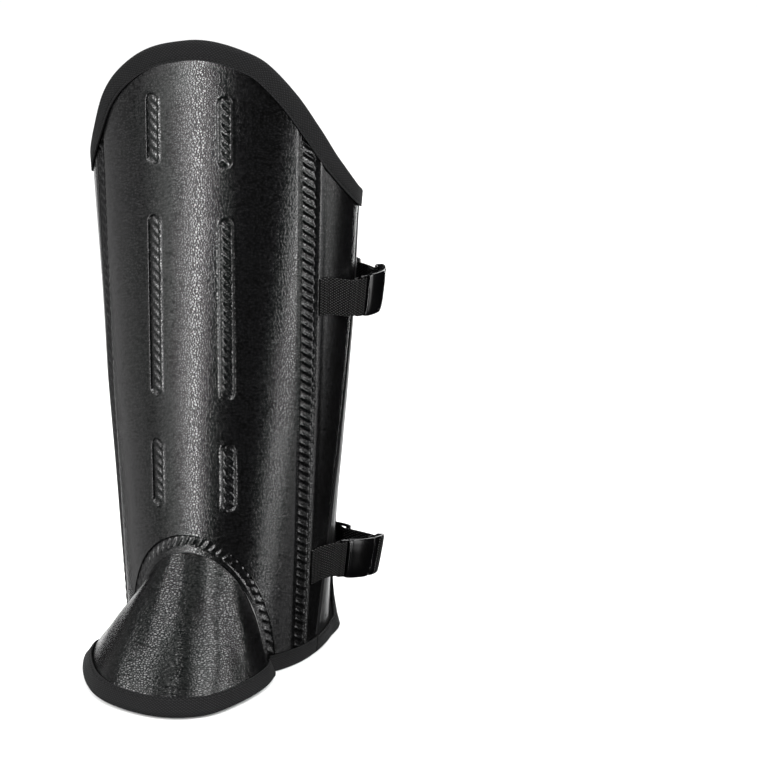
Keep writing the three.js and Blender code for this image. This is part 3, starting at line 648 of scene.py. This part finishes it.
def side_panel():
    start, end = lambda z: 84.3, lambda z: closure("flap_seam", z) - GAP
    arc, z = leaning_grid(start, end, 46, 190)
    piping = 0.6 * ease(arc, 84.8, 86.8) * (1 - ease(arc, 87.2, 92))
    edge = rounded_edges(arc, 84.3, closure("flap_seam", z) - GAP, 0.5, 1.0)
    outer = on_shell(arc, z, piping + edge + waves(arc, z, 0.15))
    body = two_faced(outer, on_shell(arc, z, -WALL), np.stack([arc, z], -1))
    return make_piece("side_panel", body, [GRAINED, LINING], ["outer_side_panel"])


HOLE_Z, HOLE_FROM_EDGE = 24.0, 11


def closure_flap():
    start, end = lambda z: closure("flap_seam", z), lambda z: closure("flap_edge", z) - TRIM
    arc, z = leaning_grid(start, end, 60, 210)
    from_seam = arc - closure("flap_seam", z)
    seam = -0.5 * np.exp(-(from_seam / 0.9) ** 2) + 0.3 * np.exp(-((from_seam - 3.4) / 0.9) ** 2)
    hole = np.hypot(arc - (closure("flap_edge", HOLE_Z) - HOLE_FROM_EDGE), z - HOLE_Z)
    dimple = -0.5 * np.exp(-(hole / 2.4) ** 2)
    outer = on_shell(arc, z, seam + dimple + waves(arc, z, 0.2))
    cell = (hole[:-1, :-1] + hole[1:, 1:]) / 2 > 1.6
    body = two_faced(outer, on_shell(arc, z, -WALL), np.stack([arc, z], -1), cell)
    return make_piece("closure_flap_sheet", body, [SMOOTH, LINING], ["closure_flap"])


def under_arc(name, z):
    return closure(name, z) - girth(z)


def back_panel():
    arc, z = leaning_grid(lambda z: -84.3, lambda z: under_arc("underlap", z), 150, 170)
    outer = on_shell(arc, z, waves(arc, z, 0.3) + rounded_edges(arc, -500.0, -84.3, 0.5, 1.0))
    body = two_faced(outer, on_shell(arc, z, -WALL), np.stack([arc, z], -1))
    return make_piece("back_panel_sheet", body, [GRAINED, LINING], ["back_panel"])


def closure_strip():
    start, end = lambda z: under_arc("leather_end", z), lambda z: under_arc("underlap", z) + 1
    below_tape = lambda a: top_height(a) - 1.04 * TAPE_WIDTH - 0.6
    arc, z = leaning_grid(start, end, 40, 160, TAPE_WIDTH + GAP, below_tape)
    from_side = arc - under_arc("leather_end", z)
    nap = 0.12 * np.sin(arc * 2.1) * np.sin(z * 1.9)
    lift = 1.35 + nap - 0.7 * np.exp(-(from_side / 0.8) ** 2)
    body = two_faced(on_shell(arc, z, lift), on_shell(arc, z, 0.5), np.stack([arc, z], -1))
    return make_piece("loop_strip", body, [LOOPS, LOOPS], ["closure_strip"])


side_panel(), closure_flap(), back_panel(), closure_strip()

# %% [markdown]
# ## Instep flap
# The flap over the laces is a sheet that fans out from the arch to its rim on the floor. Straight ribs
# join a curve on the arch to a curve on the rim. A shallow valley runs down its middle, where the sheet
# breaks over the laces, and light shows it as two bright fans with a dark one between them.

# %% A curve through points
def curve_through(points, t):
    points = np.asarray(points, float)
    last = len(points) - 1
    ends = np.vstack([2 * points[0] - points[1], points, 2 * points[-1] - points[-2]])
    place = np.clip(np.asarray(t, float), 0, 1) * last
    i = np.minimum(place.astype(int), last - 1)
    w = (place - i)[..., None]
    p0, p1, p2, p3 = (ends[i + k] for k in range(4))
    d0, d1, d2 = (np.maximum(np.linalg.norm(b - a, axis=-1, keepdims=True) ** 0.5, 1e-3)
                  for a, b in ((p0, p1), (p1, p2), (p2, p3)))
    t1 = ((p1 - p0) / d0 - (p2 - p0) / (d0 + d1) + (p2 - p1) / d1) * d1
    t2 = ((p2 - p1) / d1 - (p3 - p1) / (d1 + d2) + (p3 - p2) / d2) * d1
    return p1 + t1 * w + (-3 * p1 + 3 * p2 - 2 * t1 - t2) * w**2 + (2 * p1 - 2 * p2 + t1 + t2) * w**3


# %% Instep flap
# ribs: angle along the arch, lift of the root, end on the rim
FLAP_WALL, RIM_HEIGHT = 2.2, 2.6
RIBS = np.array([
    [9, 2.7, -64, -40], [20, 2.4, -74, -43], [33, 1.6, -80.5, -55], [47, 0.2, -74, -86],
    [62, -0.6, -52, -126], [78, -0.6, -25, -145], [92, -0.6, 4, -151.5], [108, -0.6, 29, -142],
    [128, -0.6, 45, -114], [150, -0.6, 52.5, -86], [168, -0.6, 53, -67],
])
turn = np.radians(RIBS[:, 0])
ROOT = on_form(ARCH["centre"] - 50.7 * np.cos(turn), 86.5 * np.sin(turn), RIBS[:, 1])
RIM = np.column_stack([RIBS[:, 2], RIBS[:, 3], np.full(len(RIBS), RIM_HEIGHT)])


def flap_face(u, v):
    root, rim = curve_through(ROOT, u), curve_through(RIM, u)
    return root + (rim - root) * np.asarray(v)[..., None]


def flap_normal(u, v):
    along = flap_face(np.minimum(u + 0.01, 1), v) - flap_face(np.maximum(u - 0.01, 0), v)
    down = flap_face(u, np.ones_like(u)) - flap_face(u, np.zeros_like(u))
    normal = -np.cross(along, down)
    return normal / np.linalg.norm(normal, axis=-1, keepdims=True)


def rib_length(u):
    return np.linalg.norm(curve_through(RIM, u) - curve_through(ROOT, u), axis=-1)


def on_flap(u, from_rim, lift):
    u, from_rim, lift = np.broadcast_arrays(*(np.asarray(x, float) for x in (u, from_rim, lift)))
    v = 1 - from_rim / rib_length(u)
    bulge = 1.5 * np.sin(math.pi * np.clip(v, 0, 1)) * np.sin(math.pi * u)
    valley = -2.4 * np.exp(-((u - 0.5) / 0.09) ** 2) * np.sin(math.pi * np.clip(v, 0, 1)) ** 0.8
    point = flap_face(u, v) + flap_normal(u, np.maximum(v, 0.25)) * (lift + bulge + valley)[..., None]
    point[..., 2] = np.maximum(point[..., 2], 0)
    return point


def instep_flap():
    u, v = np.meshgrid(np.linspace(0, 1, 220), np.linspace(0, 1, 70))
    from_rim = TRIM + (rib_length(u) - TRIM) * v
    folds = 0.22 * np.sin(u * 60 + v * 5) * np.sin(math.pi * v) + 0.15 * np.sin(u * 23 - v * 9)
    outer, inner = on_flap(u, from_rim, folds), on_flap(u, from_rim, -FLAP_WALL)
    body = two_faced(outer, inner, np.stack([u * 300, from_rim], -1))
    return make_piece("instep_flap_sheet", body, [CREASED, LINING], ["instep_flap"])


instep_flap()

# %% [markdown]
# ## Binding tape
# Each free edge is bound with woven tape, folded over it as a U and sewn through. Its section is a
# grid line that runs from one free edge of the tape over the fold to the other. The tape has low ribs
# along it and puckers a little between stitches, and the stitches are small capsules of thread.

# %% Tape and stitches
STITCH_AT, STITCH_PITCH = 10.4, 4.2


def tape_section(wall, slack):
    outside, inside = slack + TAPE, -wall - slack - TAPE
    radius, middle = (outside - inside) / 2, (outside + inside) / 2
    legs = np.linspace(TAPE_WIDTH, radius, 12)[:-1]
    turns = np.linspace(math.pi / 2, 3 * math.pi / 2, 11)
    x = np.concatenate([legs, radius + radius * np.cos(turns), legs[::-1]])
    y = np.concatenate([np.full(11, outside), middle + radius * np.sin(turns), np.full(11, inside)])
    thin = radius - TAPE
    x_in = np.concatenate([legs, radius + thin * np.cos(turns), legs[::-1]])
    y_in = np.concatenate([np.full(11, outside - TAPE), middle + thin * np.sin(turns),
                           np.full(11, inside + TAPE)])
    side = np.concatenate([np.ones(11), np.sin(turns), -np.ones(11)])
    run = np.concatenate([[0], np.cumsum(np.hypot(np.diff(x), np.diff(y)))])
    return x, y, x_in, y_in, side, run


def capsules(place, alongs, across, lift, length=3.2, radius=0.32):
    s = np.linspace(-1, 1, 7)
    ring = np.linspace(0, 2 * math.pi, 7)
    thick = radius * np.sqrt(np.clip(1 - s**2, 0.03, 1))
    parts = []
    for centre, off in zip(alongs, np.broadcast_to(across, len(alongs))):
        along = centre + s[:, None] * length / 2 + 0 * ring
        points = place(along, off + thick[:, None] * np.cos(ring), lift + thick[:, None] * np.sin(ring))
        inner = np.repeat(points.mean(1, keepdims=True), 7, 1)
        parts.append(two_faced(points, inner, np.stack([along, along], -1), lining=0))
    return together(parts)


def bind_edge(name, place, length, wall, slack, nodes):
    x, y, x_in, y_in, side, run = tape_section(wall, slack)
    along = np.linspace(0, length, max(int(length / 1.5), 8))[:, None]
    pucker = 0.10 * np.cos(2 * math.pi * along / STITCH_PITCH) * np.exp(-((x - STITCH_AT) / 1.3) ** 2)
    sewn = -0.28 * np.exp(-((x - STITCH_AT) / 0.8) ** 2)
    ribs = 0.10 * np.cos(2 * math.pi * x / 2.5) + 0.10 * np.sin(along / 9.0 + x / 5)
    grown = y + side * (ribs + sewn + pucker)
    outer = place(along, x + 0 * along, grown)
    inner = place(along, x_in + 0 * along, y_in + 0 * along)
    flat = np.stack(np.broadcast_arrays(along, run), -1)
    body = two_faced(outer[:, ::-1], inner[:, ::-1], flat[:, ::-1], lining=0)
    make_piece(name, body, [TAPE_CLOTH], nodes, 70)
    marks = np.arange(3.0, length - 3, STITCH_PITCH)
    sewing = capsules(place, marks, STITCH_AT, slack + TAPE - 0.12)
    make_piece(name + "_stitches", sewing, [THREAD], (), 80)


# %% [markdown]
# ## The edges that are bound
# A route says where an edge runs: for each length along it, a point of the pattern and the direction
# into the sheet. The top edge follows the outline, the bottom edges are level, the flap's free edge
# leans with the closure, and the rim of the instep flap has its own place function.

# %% Routes and bindings
def routed(route, start, end):
    t = np.linspace(0, 1, 600)
    arc, z, _, _ = route(start + (end - start) * t)
    run = np.concatenate([[0], np.cumsum(np.hypot(np.diff(arc), np.diff(z)))])

    def place(along, across, lift):
        at = start + (end - start) * np.interp(along, run, t)
        arc, z, into_arc, into_z = route(at)
        return on_shell(arc + into_arc * across, z + into_z * across, lift)

    return place, run[-1]


def top_route(arc):
    slope = top_slope(arc)
    size = np.hypot(slope, 1)
    return arc, top_height(arc), slope / size, -1 / size


def bottom_route(arc):
    return arc, 0 * arc, 0 * arc, 1 + 0 * arc


def flap_edge_route(z):
    return closure("flap_edge", z), z, -1 + 0 * z, 0 * z


def bind_all():
    seam, edge = closure("flap_seam", 317), closure("flap_edge", 317)
    edge_top = float(top_height(edge - TAPE_WIDTH)) - TAPE_WIDTH - 0.9
    runs = {
        "top_binding": (top_route, float(under_arc("underlap", 317)), seam - GAP, FRONT_WALL, 0.75),
        "flap_top_binding": (top_route, seam + GAP, edge, WALL, 0.45),
        "bottom_binding_back": (bottom_route, -56.0, float(under_arc("underlap", 0)), FRONT_WALL, 0.3),
        "bottom_binding_outer": (bottom_route, 52.0, 100.7, FRONT_WALL, 0.3),
        "flap_bottom_binding": (bottom_route, 101.3, 152.0, WALL, 0.45),
        "flap_edge_binding": (flap_edge_route, TAPE_WIDTH + GAP, edge_top, WALL, 0.45),
    }
    for name, (route, start, end, wall, slack) in runs.items():
        place, length = routed(route, start, end)
        bind_edge(name.replace("binding", "tape"), place, length, wall, slack, [name])
    u = np.linspace(0, 1, 600)
    run = np.concatenate([[0], np.cumsum(np.linalg.norm(np.diff(curve_through(RIM, u), axis=0), axis=1))])
    rim = lambda along, across, lift: on_flap(np.interp(along, run, u), across, lift)
    bind_edge("instep_flap_tape", rim, run[-1], FLAP_WALL, 0.6, ["instep_flap_binding"])


bind_all()

# %% [markdown]
# ## Moulded buckles
# A side release buckle and a slider are injection moulded: plates with windows, soft edges and slightly
# crowned faces. They are drawn flat as a grid of lines with some cells left out, and every edge is
# rounded by its distance from the nearest border. Then the flat part is bent along its own arc.

# %% Moulded plates
BUCKLES = {
    "upper": {"x": 97.2, "y": -8.0, "heading": 27.5, "approach": 27.5, "radius": 48.0,
              "z": 249, "end": 246, "lean": 0.12},
    "lower": {"x": 81.5, "y": 0.0, "heading": 40.0, "approach": 25.0, "radius": 58.0,
              "z": 65, "end": 55, "lean": 0.18},
}
SLIDERS = {"upper": (68.2, 60.4, 58, 246), "lower": (58.7, 61.0, 70, 56)}


def buckle_frame(b):
    head, near = math.radians(b["heading"]), math.radians(b["approach"])
    centre_x, centre_y = b["x"] - b["radius"] * math.cos(head), b["y"] + b["radius"] * math.sin(head)

    def place(u, v, w):
        outward = head - np.maximum(u, 0) / b["radius"]
        reach, straight = b["radius"] + v + w * b["lean"], np.minimum(u, 0)
        x = centre_x + reach * np.cos(outward) + straight * math.sin(near)
        y = centre_y - reach * np.sin(outward) + straight * math.cos(near)
        return np.stack([x, y, b["z"] + (b["end"] - b["z"]) * u / 50 + w], -1)

    return place


def slider_frame(x, y, heading, z):
    a = math.radians(heading)
    along, out = np.array([-math.sin(a), math.cos(a), 0]), np.array([math.cos(a), math.sin(a), 0])
    return lambda u, v, w: np.stack(np.broadcast_arrays(
        x + u * along[0] + v * out[0], y + u * along[1] + v * out[1], z + w), -1)


def plate(place, us, ws, top, bottom, windows=(), radius=0.7, crown=0.0, pinch=0.0, flat_inside=False):
    def lines(low, high, cuts):
        near = [0, 0.06, 0.2, 0.45, 0.75, 1.0]
        marks = [low + radius * n for n in near] + [high - radius * n for n in near]
        for a, b in cuts:
            marks += [a - radius * n for n in near] + [b + radius * n for n in near]
        marks += list(np.arange(low, high, 1.3))
        marks = sorted(m for m in marks if low <= m <= high)
        return np.array([m for i, m in enumerate(marks) if i == 0 or m - marks[i - 1] > 0.02])

    u, w = np.meshgrid(lines(*us, [h[:2] for h in windows]), lines(*ws, [h[2:] for h in windows]))
    d = np.minimum.reduce([u - us[0], us[1] - u, w - ws[0], ws[1] - w])
    mid_u, mid_w = (u[:-1, :-1] + u[1:, 1:]) / 2, (w[:-1, :-1] + w[1:, 1:]) / 2
    keep = np.ones(mid_u.shape, bool)
    for a, b, c, e in windows:
        d = np.minimum(d, np.maximum.reduce([a - u, u - b, c - w, w - e]))
        keep &= ~((mid_u > a) & (mid_u < b) & (mid_w > c) & (mid_w < e))
    near = np.clip(d, 0, radius)
    drop = radius - np.sqrt(np.maximum(radius**2 - (radius - near) ** 2, 0))
    end = np.abs(2 * (u - us[0]) / (us[1] - us[0]) - 1) ** 6
    side = np.abs(2 * (w - ws[0]) / (ws[1] - ws[0]) - 1)
    crowned = crown * (0.28 * side**4 + 0.16 * end)
    wide = w * (1 - pinch * end * side)
    outer = place(u, top - drop - crowned, wide)
    inner = place(u, bottom if flat_inside else bottom + drop + crowned, wide)
    return two_faced(outer, inner, np.stack([u, w], -1), keep, lining=0)


# %% [markdown]
# The socket takes the webbing round its bar and the plug between its two faces, with a window at each
# side where the prongs snap in. The plug shows its crowned body, the two prongs, and a ladder of bars
# for the loose strap. The slider is an open frame with a middle bar.

# %% Buckles and sliders
def socket(place):
    mirrored = lambda u, v, w: place(u, -v, w)[::-1]
    faces = [plate(at, (3, 26.5), (-14.3, 14.3), 4.2, 2.2, radius=0.8, crown=4.2, pinch=0.03, flat_inside=True)
             for at in (place, mirrored)]
    blocks = [((3, 9), (-14.0, 14.0), 2.6)]
    for side in (-1, 1):
        blocks.append(((8.5, 12.2), tuple(sorted((side * 11.7, side * 14.1))), 2.6))
        blocks.append(((21.3, 26.2), tuple(sorted((side * 11.7, side * 14.1))), 2.6))
    blocks.append(((-3.4, 4), (-13.7, 13.7), 1.5))
    solids = [plate(place, us, ws, v, -v, [(-0.6, 3, -12.9, 12.9)] if us[0] < 0 else (), radius=0.6)
              for us, ws, v in blocks]
    return together(faces + solids)


def plug(place):
    ladder = [(35, 39.5, -12.9, 12.9), (42.3, 46.3, -12.9, 12.9)]
    parts = [plate(place, (26.8, 50), (-14.2, 14.2), 3.2, -3.2, ladder, radius=0.9, crown=1.6, pinch=0.04)]
    parts.append(plate(place, (13, 28.5), (-2.6, 2.6), 1.5, -1.5, radius=0.5))
    for side in (-1, 1):
        arm, tip = sorted((side * 8, side * 11.3)), sorted((side * 8, side * 13.4))
        parts.append(plate(place, (10, 28.5), arm, 1.7, -1.7, radius=0.5))
        parts.append(plate(place, (12.6, 20.8), tip, 1.7, -1.7, radius=0.5, pinch=0.05))
    parts.append(plate(place, (28.6, 29.4), (-10, 10), 3.15, 2.4, radius=0.25, flat_inside=True))
    return together(parts)


def slider(place):
    windows = [(-12, -1.7, -12.7, 12.7), (1.7, 12, -12.7, 12.7)]
    return plate(place, (-15, 15), (-14.5, 14.5), 1.4, -1.4, windows, radius=0.6, crown=0.8, pinch=0.04)


FRAMES = {}
for strap, b in BUCKLES.items():
    FRAMES[strap] = (buckle_frame(b), slider_frame(*SLIDERS[strap]))
    buckle_place, slider_place = FRAMES[strap]
    for name, body, node in (("socket", socket(buckle_place), "buckle_socket"),
                             ("plug", plug(buckle_place), "buckle_plug"),
                             ("slide", slider(slider_place), "slider")):
        make_piece(f"{strap}_{name}", body, [PLASTIC], [f"{strap}_{node}"], 40)

# %% [markdown]
# ## Webbing
# A strap is a flat ribbon on edge. Stations give its way: along the panel where it is sewn, through the
# slider, round the bars of the buckle. A smooth curve runs through the stations for each of its edges.
# The ribbon has thick woven ribs, rounded selvedges, and box stitches where it is sewn to the panel.

# %% Webbing along stations
HALF_WEB, WEB, SELVEDGE = 12.3, 1.4, 0.7
ON_PANEL = GAP + WEB / 2 + 0.15
STRAPS = {
    "upper": {"sewn": (86.5, 94), "front_z": 254, "slider_z": 246, "back": (316, 238), "back_z": 253},
    "lower": {"sewn": (86.5, 96), "front_z": 67, "slider_z": 56, "back": (306, 203), "back_z": 63},
}
SOCKET_FOLD = [(-13, 1.9), (-7, 2.3), (-3.4, 2.6), (-1.2, 2.6), (0.6, 2.1), (1.25, 0.8), (1.25, -0.8),
               (0.6, -2.1), (-1.2, -2.6), (-3.4, -2.4), (-6, -1.2), (-9, -0.2)]
SLIDER_WEAVE = [(17.5, -2.4), (13.5, -2.5), (10, -1.9), (6, 0.9), (2.5, 2.0), (-2.5, 2.0), (-6, 0.9),
                (-10, -1.9), (-13.5, -2.5), (-17.5, -2.4)]
PLUG_FOLD = [(51.5, -4.3), (48, -4.5), (45.6, -3.9), (44.5, -2.2), (44.2, 0), (43.7, 1.8), (42, 2.5),
             (40, 2.5), (38.1, 1.8), (37.6, 0), (37.3, -3), (37.8, -5.4), (40.5, -6.4), (45, -6.6),
             (51.5, -6.4)]


def stations_in(place, fold):
    return [tuple(place(np.float64(u), np.float64(v), w) for w in (-HALF_WEB, HALF_WEB)) for u, v in fold]


def ribbon(stations):
    t = np.linspace(0, 1, 1500)
    low, high = (curve_through([s[k] for s in stations], t) for k in (0, 1))
    middle = (low + high) / 2
    run = np.concatenate([[0], np.cumsum(np.linalg.norm(np.diff(middle, axis=0), axis=1))])
    way = np.gradient(middle, axis=0)
    side = np.stack([way[:, 1], -way[:, 0], 0 * way[:, 0]], -1)
    side /= np.linalg.norm(side, axis=1, keepdims=True)

    def place(along, across, lift):
        along, across, lift = np.broadcast_arrays(along, across, lift)
        pick = lambda table: np.stack([np.interp(along, run, table[:, k]) for k in range(3)], -1)
        part = (0.5 + across / (2 * HALF_WEB))[..., None]
        return pick(low) * (1 - part) + pick(high) * part + pick(side) * lift[..., None]

    return place, run[-1]


def webbing_strip(name, stations, node):
    place, length = ribbon(stations)
    near = np.array([0, 0.1, 0.3, 0.6, 1.0])
    flat_part = np.linspace(-HALF_WEB + 1.6, HALF_WEB - 1.6, 28)
    acrosses = np.concatenate([-HALF_WEB + near, flat_part, HALF_WEB - near[::-1]])
    along, across = np.meshgrid(np.linspace(0, length, int(length / 0.8)), acrosses)
    edge = np.clip(HALF_WEB - np.abs(across), 0, SELVEDGE)
    half = WEB / 2 - (SELVEDGE - np.sqrt(np.maximum(0.49 - (SELVEDGE - edge) ** 2, 0))) * 0.8
    ribs = 0.10 * np.cos(2 * math.pi * along / 4.2) * np.clip(edge / SELVEDGE, 0, 1)
    outer, inner = place(along, across, half + ribs), place(along, across, -half - ribs)
    body = two_faced(outer, inner, np.stack([along, across], -1), lining=0)
    make_piece(name, body, [WEBBING], [node], 70)
    return place


def box_stitch(name, place, start, end, lift):
    marks = np.arange(start + 1, end, 2.9)
    lines = capsules(place, np.tile(marks, 2), np.repeat([-10, 10], len(marks)), lift, 2.3, 0.28)
    turned = lambda along, across, up: place(across, along, up)
    rungs = [capsules(turned, np.arange(-8.6, 9, 2.9), at, lift, 2.3, 0.28) for at in (start, end)]
    make_piece(name, together([lines] + rungs), [THREAD], (), 80)


for strap, s in STRAPS.items():
    buckle_place, slider_place = FRAMES[strap]
    stations = [tuple(on_shell(a, s["front_z"] + w, ON_PANEL) for w in (-HALF_WEB, HALF_WEB))
                for a in np.linspace(*s["sewn"], 3)]
    stations += stations_in(buckle_place, SOCKET_FOLD)
    place = webbing_strip(f"{strap}_front_strap", stations, f"{strap}_front_webbing")
    box_stitch(f"{strap}_front_sewing", place, 1.6, 7.0, WEB / 2 + 0.1)
    stations = []
    for t in np.linspace(0, 1, 10):
        z = s["back_z"] + (s["slider_z"] - s["back_z"]) * t
        arc = s["back"][0] + (s["back"][1] - s["back"][0]) * t - girth(z)
        stations.append((on_form(arc, z - HALF_WEB, ON_PANEL), on_form(arc, z + HALF_WEB, ON_PANEL)))
    stations += stations_in(slider_place, SLIDER_WEAVE) + stations_in(buckle_place, PLUG_FOLD)
    place = webbing_strip(f"{strap}_back_strap", stations, f"{strap}_back_webbing")
    box_stitch(f"{strap}_back_sewing", place, 2.5, 24.0, -WEB / 2 - 0.1)

# %% [markdown]
# ## Floor
# Black goods are drawn by their reflections. The camera looks down, so upright leather mirrors what lies
# below the horizon, and the light panels of the next cell reach below the floor. That is why the plain pale
# floor is seen by the camera only: it lets their light through and isn't mirrored itself.

# %% Floor
def pale_floor():
    mesh = bpy.data.meshes.new("floor")
    corners = [(x * 8.0, y * 8.0, 0) for x, y in ((-1, -1), (1, -1), (1, 1), (-1, 1))]
    mesh.from_pydata(corners, [], [(0, 1, 2, 3)])
    material = bpy.data.materials.new("pale_floor")
    material.use_nodes = True
    shader = material.node_tree.nodes["Principled BSDF"]
    shader.inputs["Base Color"].default_value = (0.9, 0.9, 0.9, 1)
    shader.inputs["Roughness"].default_value = 0.9
    mesh.materials.append(material)
    floor = bpy.data.objects.new("floor", mesh)
    bpy.context.scene.collection.objects.link(floor)
    floor.visible_glossy = False
    floor.visible_diffuse = False
    floor.visible_shadow = False


pale_floor()

# %% [markdown]
# ## Lights
# A panel's azimuth counts from the front, towards the buckles. An upright surface mirrors it where the
# surface turns halfway between the panel and the camera, so azimuth and width set where a band lies and how
# wide it is, and its brightness is the panel's radiance. The narrow front strip draws the bright band
# between the slots, and the right strip the one beside the outer weld. Lower and upper panels at the same
# azimuth make a band fade along the leg.

# %% Lights
def soft_light(name, azimuth, distance, width, low, high, radiance):
    light = bpy.data.lights.new(name, "AREA")
    light.shape = "RECTANGLE"
    light.size, light.size_y = width, high - low
    light.energy = radiance * math.pi * width * (high - low)
    lamp = bpy.data.objects.new(name, light)
    a = math.radians(azimuth)
    lamp.location = (distance * math.sin(a), -distance * math.cos(a), (low + high) / 2)
    lamp.rotation_euler = (math.pi / 2, 0, a)
    lamp.visible_camera = False
    bpy.context.scene.collection.objects.link(lamp)
    return lamp


# name, azimuth, distance, width, lowest, highest, radiance
PANELS = [
    ("front_strip", -16.5, 1.6, 0.19, -0.42, 1.6, 24),
    ("front_foot", -16.5, 1.6, 0.19, -0.9, -0.42, 11),
    ("front_shoulder", -28, 1.6, 0.42, -0.9, 1.6, 3.0),
    ("front_skirt", -45, 1.6, 0.45, -0.9, 1.6, 1.7),
    ("left_broad", -90, 1.6, 1.8, -0.9, 0.15, 0.8),
    ("left_upper", -88, 1.6, 1.5, 0.15, 0.95, 0.4),
    ("left_high", -73, 1.5, 0.50, 0.95, 1.95, 8),
    ("left_far", -144, 1.6, 0.5, -0.9, 0.6, 1.2),
    ("right_strip", 65, 1.6, 0.42, -0.38, 1.0, 10.5),
    ("right_foot", 65, 1.6, 0.42, -0.9, -0.38, 2.6),
    ("right_high", 62, 1.0, 1.0, 0.85, 1.9, 7.5),
    ("right_low", 102, 1.6, 0.45, 0.3, 1.2, 8),
    ("right_fade", 97, 1.7, 0.75, -0.45, 0.3, 2.0),
    ("right_fade_foot", 97, 1.7, 0.75, -0.9, -0.45, 0.7),
    ("back_strip", 179, 1.8, 0.46, -0.9, 1.6, 3),
]
for panel in PANELS:
    soft_light(*panel)
top = soft_light("top_broad", 0, 0.0, 1.6, 1.0, 2.6, 1.2)
top.location, top.rotation_euler = (0, 0, 2.0), (0, 0, 0)
print("lights:", len(PANELS) + 1)

# %% [markdown]
# ## Room and camera
# The room is white above the horizon and black below it, and black goods don't mirror it. The camera
# stands where the photographer stood, with a long lens.

# %% Room and camera
world = bpy.data.worlds.new("room")
world.use_nodes = True
sky = world.node_tree
around = add_node(sky, "ShaderNodeTexCoord").outputs["Generated"]
upward = add_node(sky, "ShaderNodeSeparateXYZ", {0: around}).outputs[2]
sky.nodes["Background"].inputs[0].default_value = (1, 1, 1, 1)
sky.links.new(remap(sky, upward, -0.08, 0.0, 0.0, 1.12), sky.nodes["Background"].inputs[1])
world.cycles_visibility.glossy = False
bpy.context.scene.world = world
bpy.context.scene.view_settings.view_transform = "Standard"

from mathutils import Vector

camera = bpy.data.objects.new("camera", bpy.data.cameras.new("camera"))
camera.data.lens, camera.data.sensor_width = 132.44, 36
camera.location = (0.516204, -1.685822, 0.664117)
view = Vector((-0.22901783, 0.93876992, -0.25741381))
camera.rotation_euler = view.to_track_quat("-Z", "Y").to_euler()
bpy.context.scene.collection.objects.link(camera)
bpy.context.scene.camera = camera
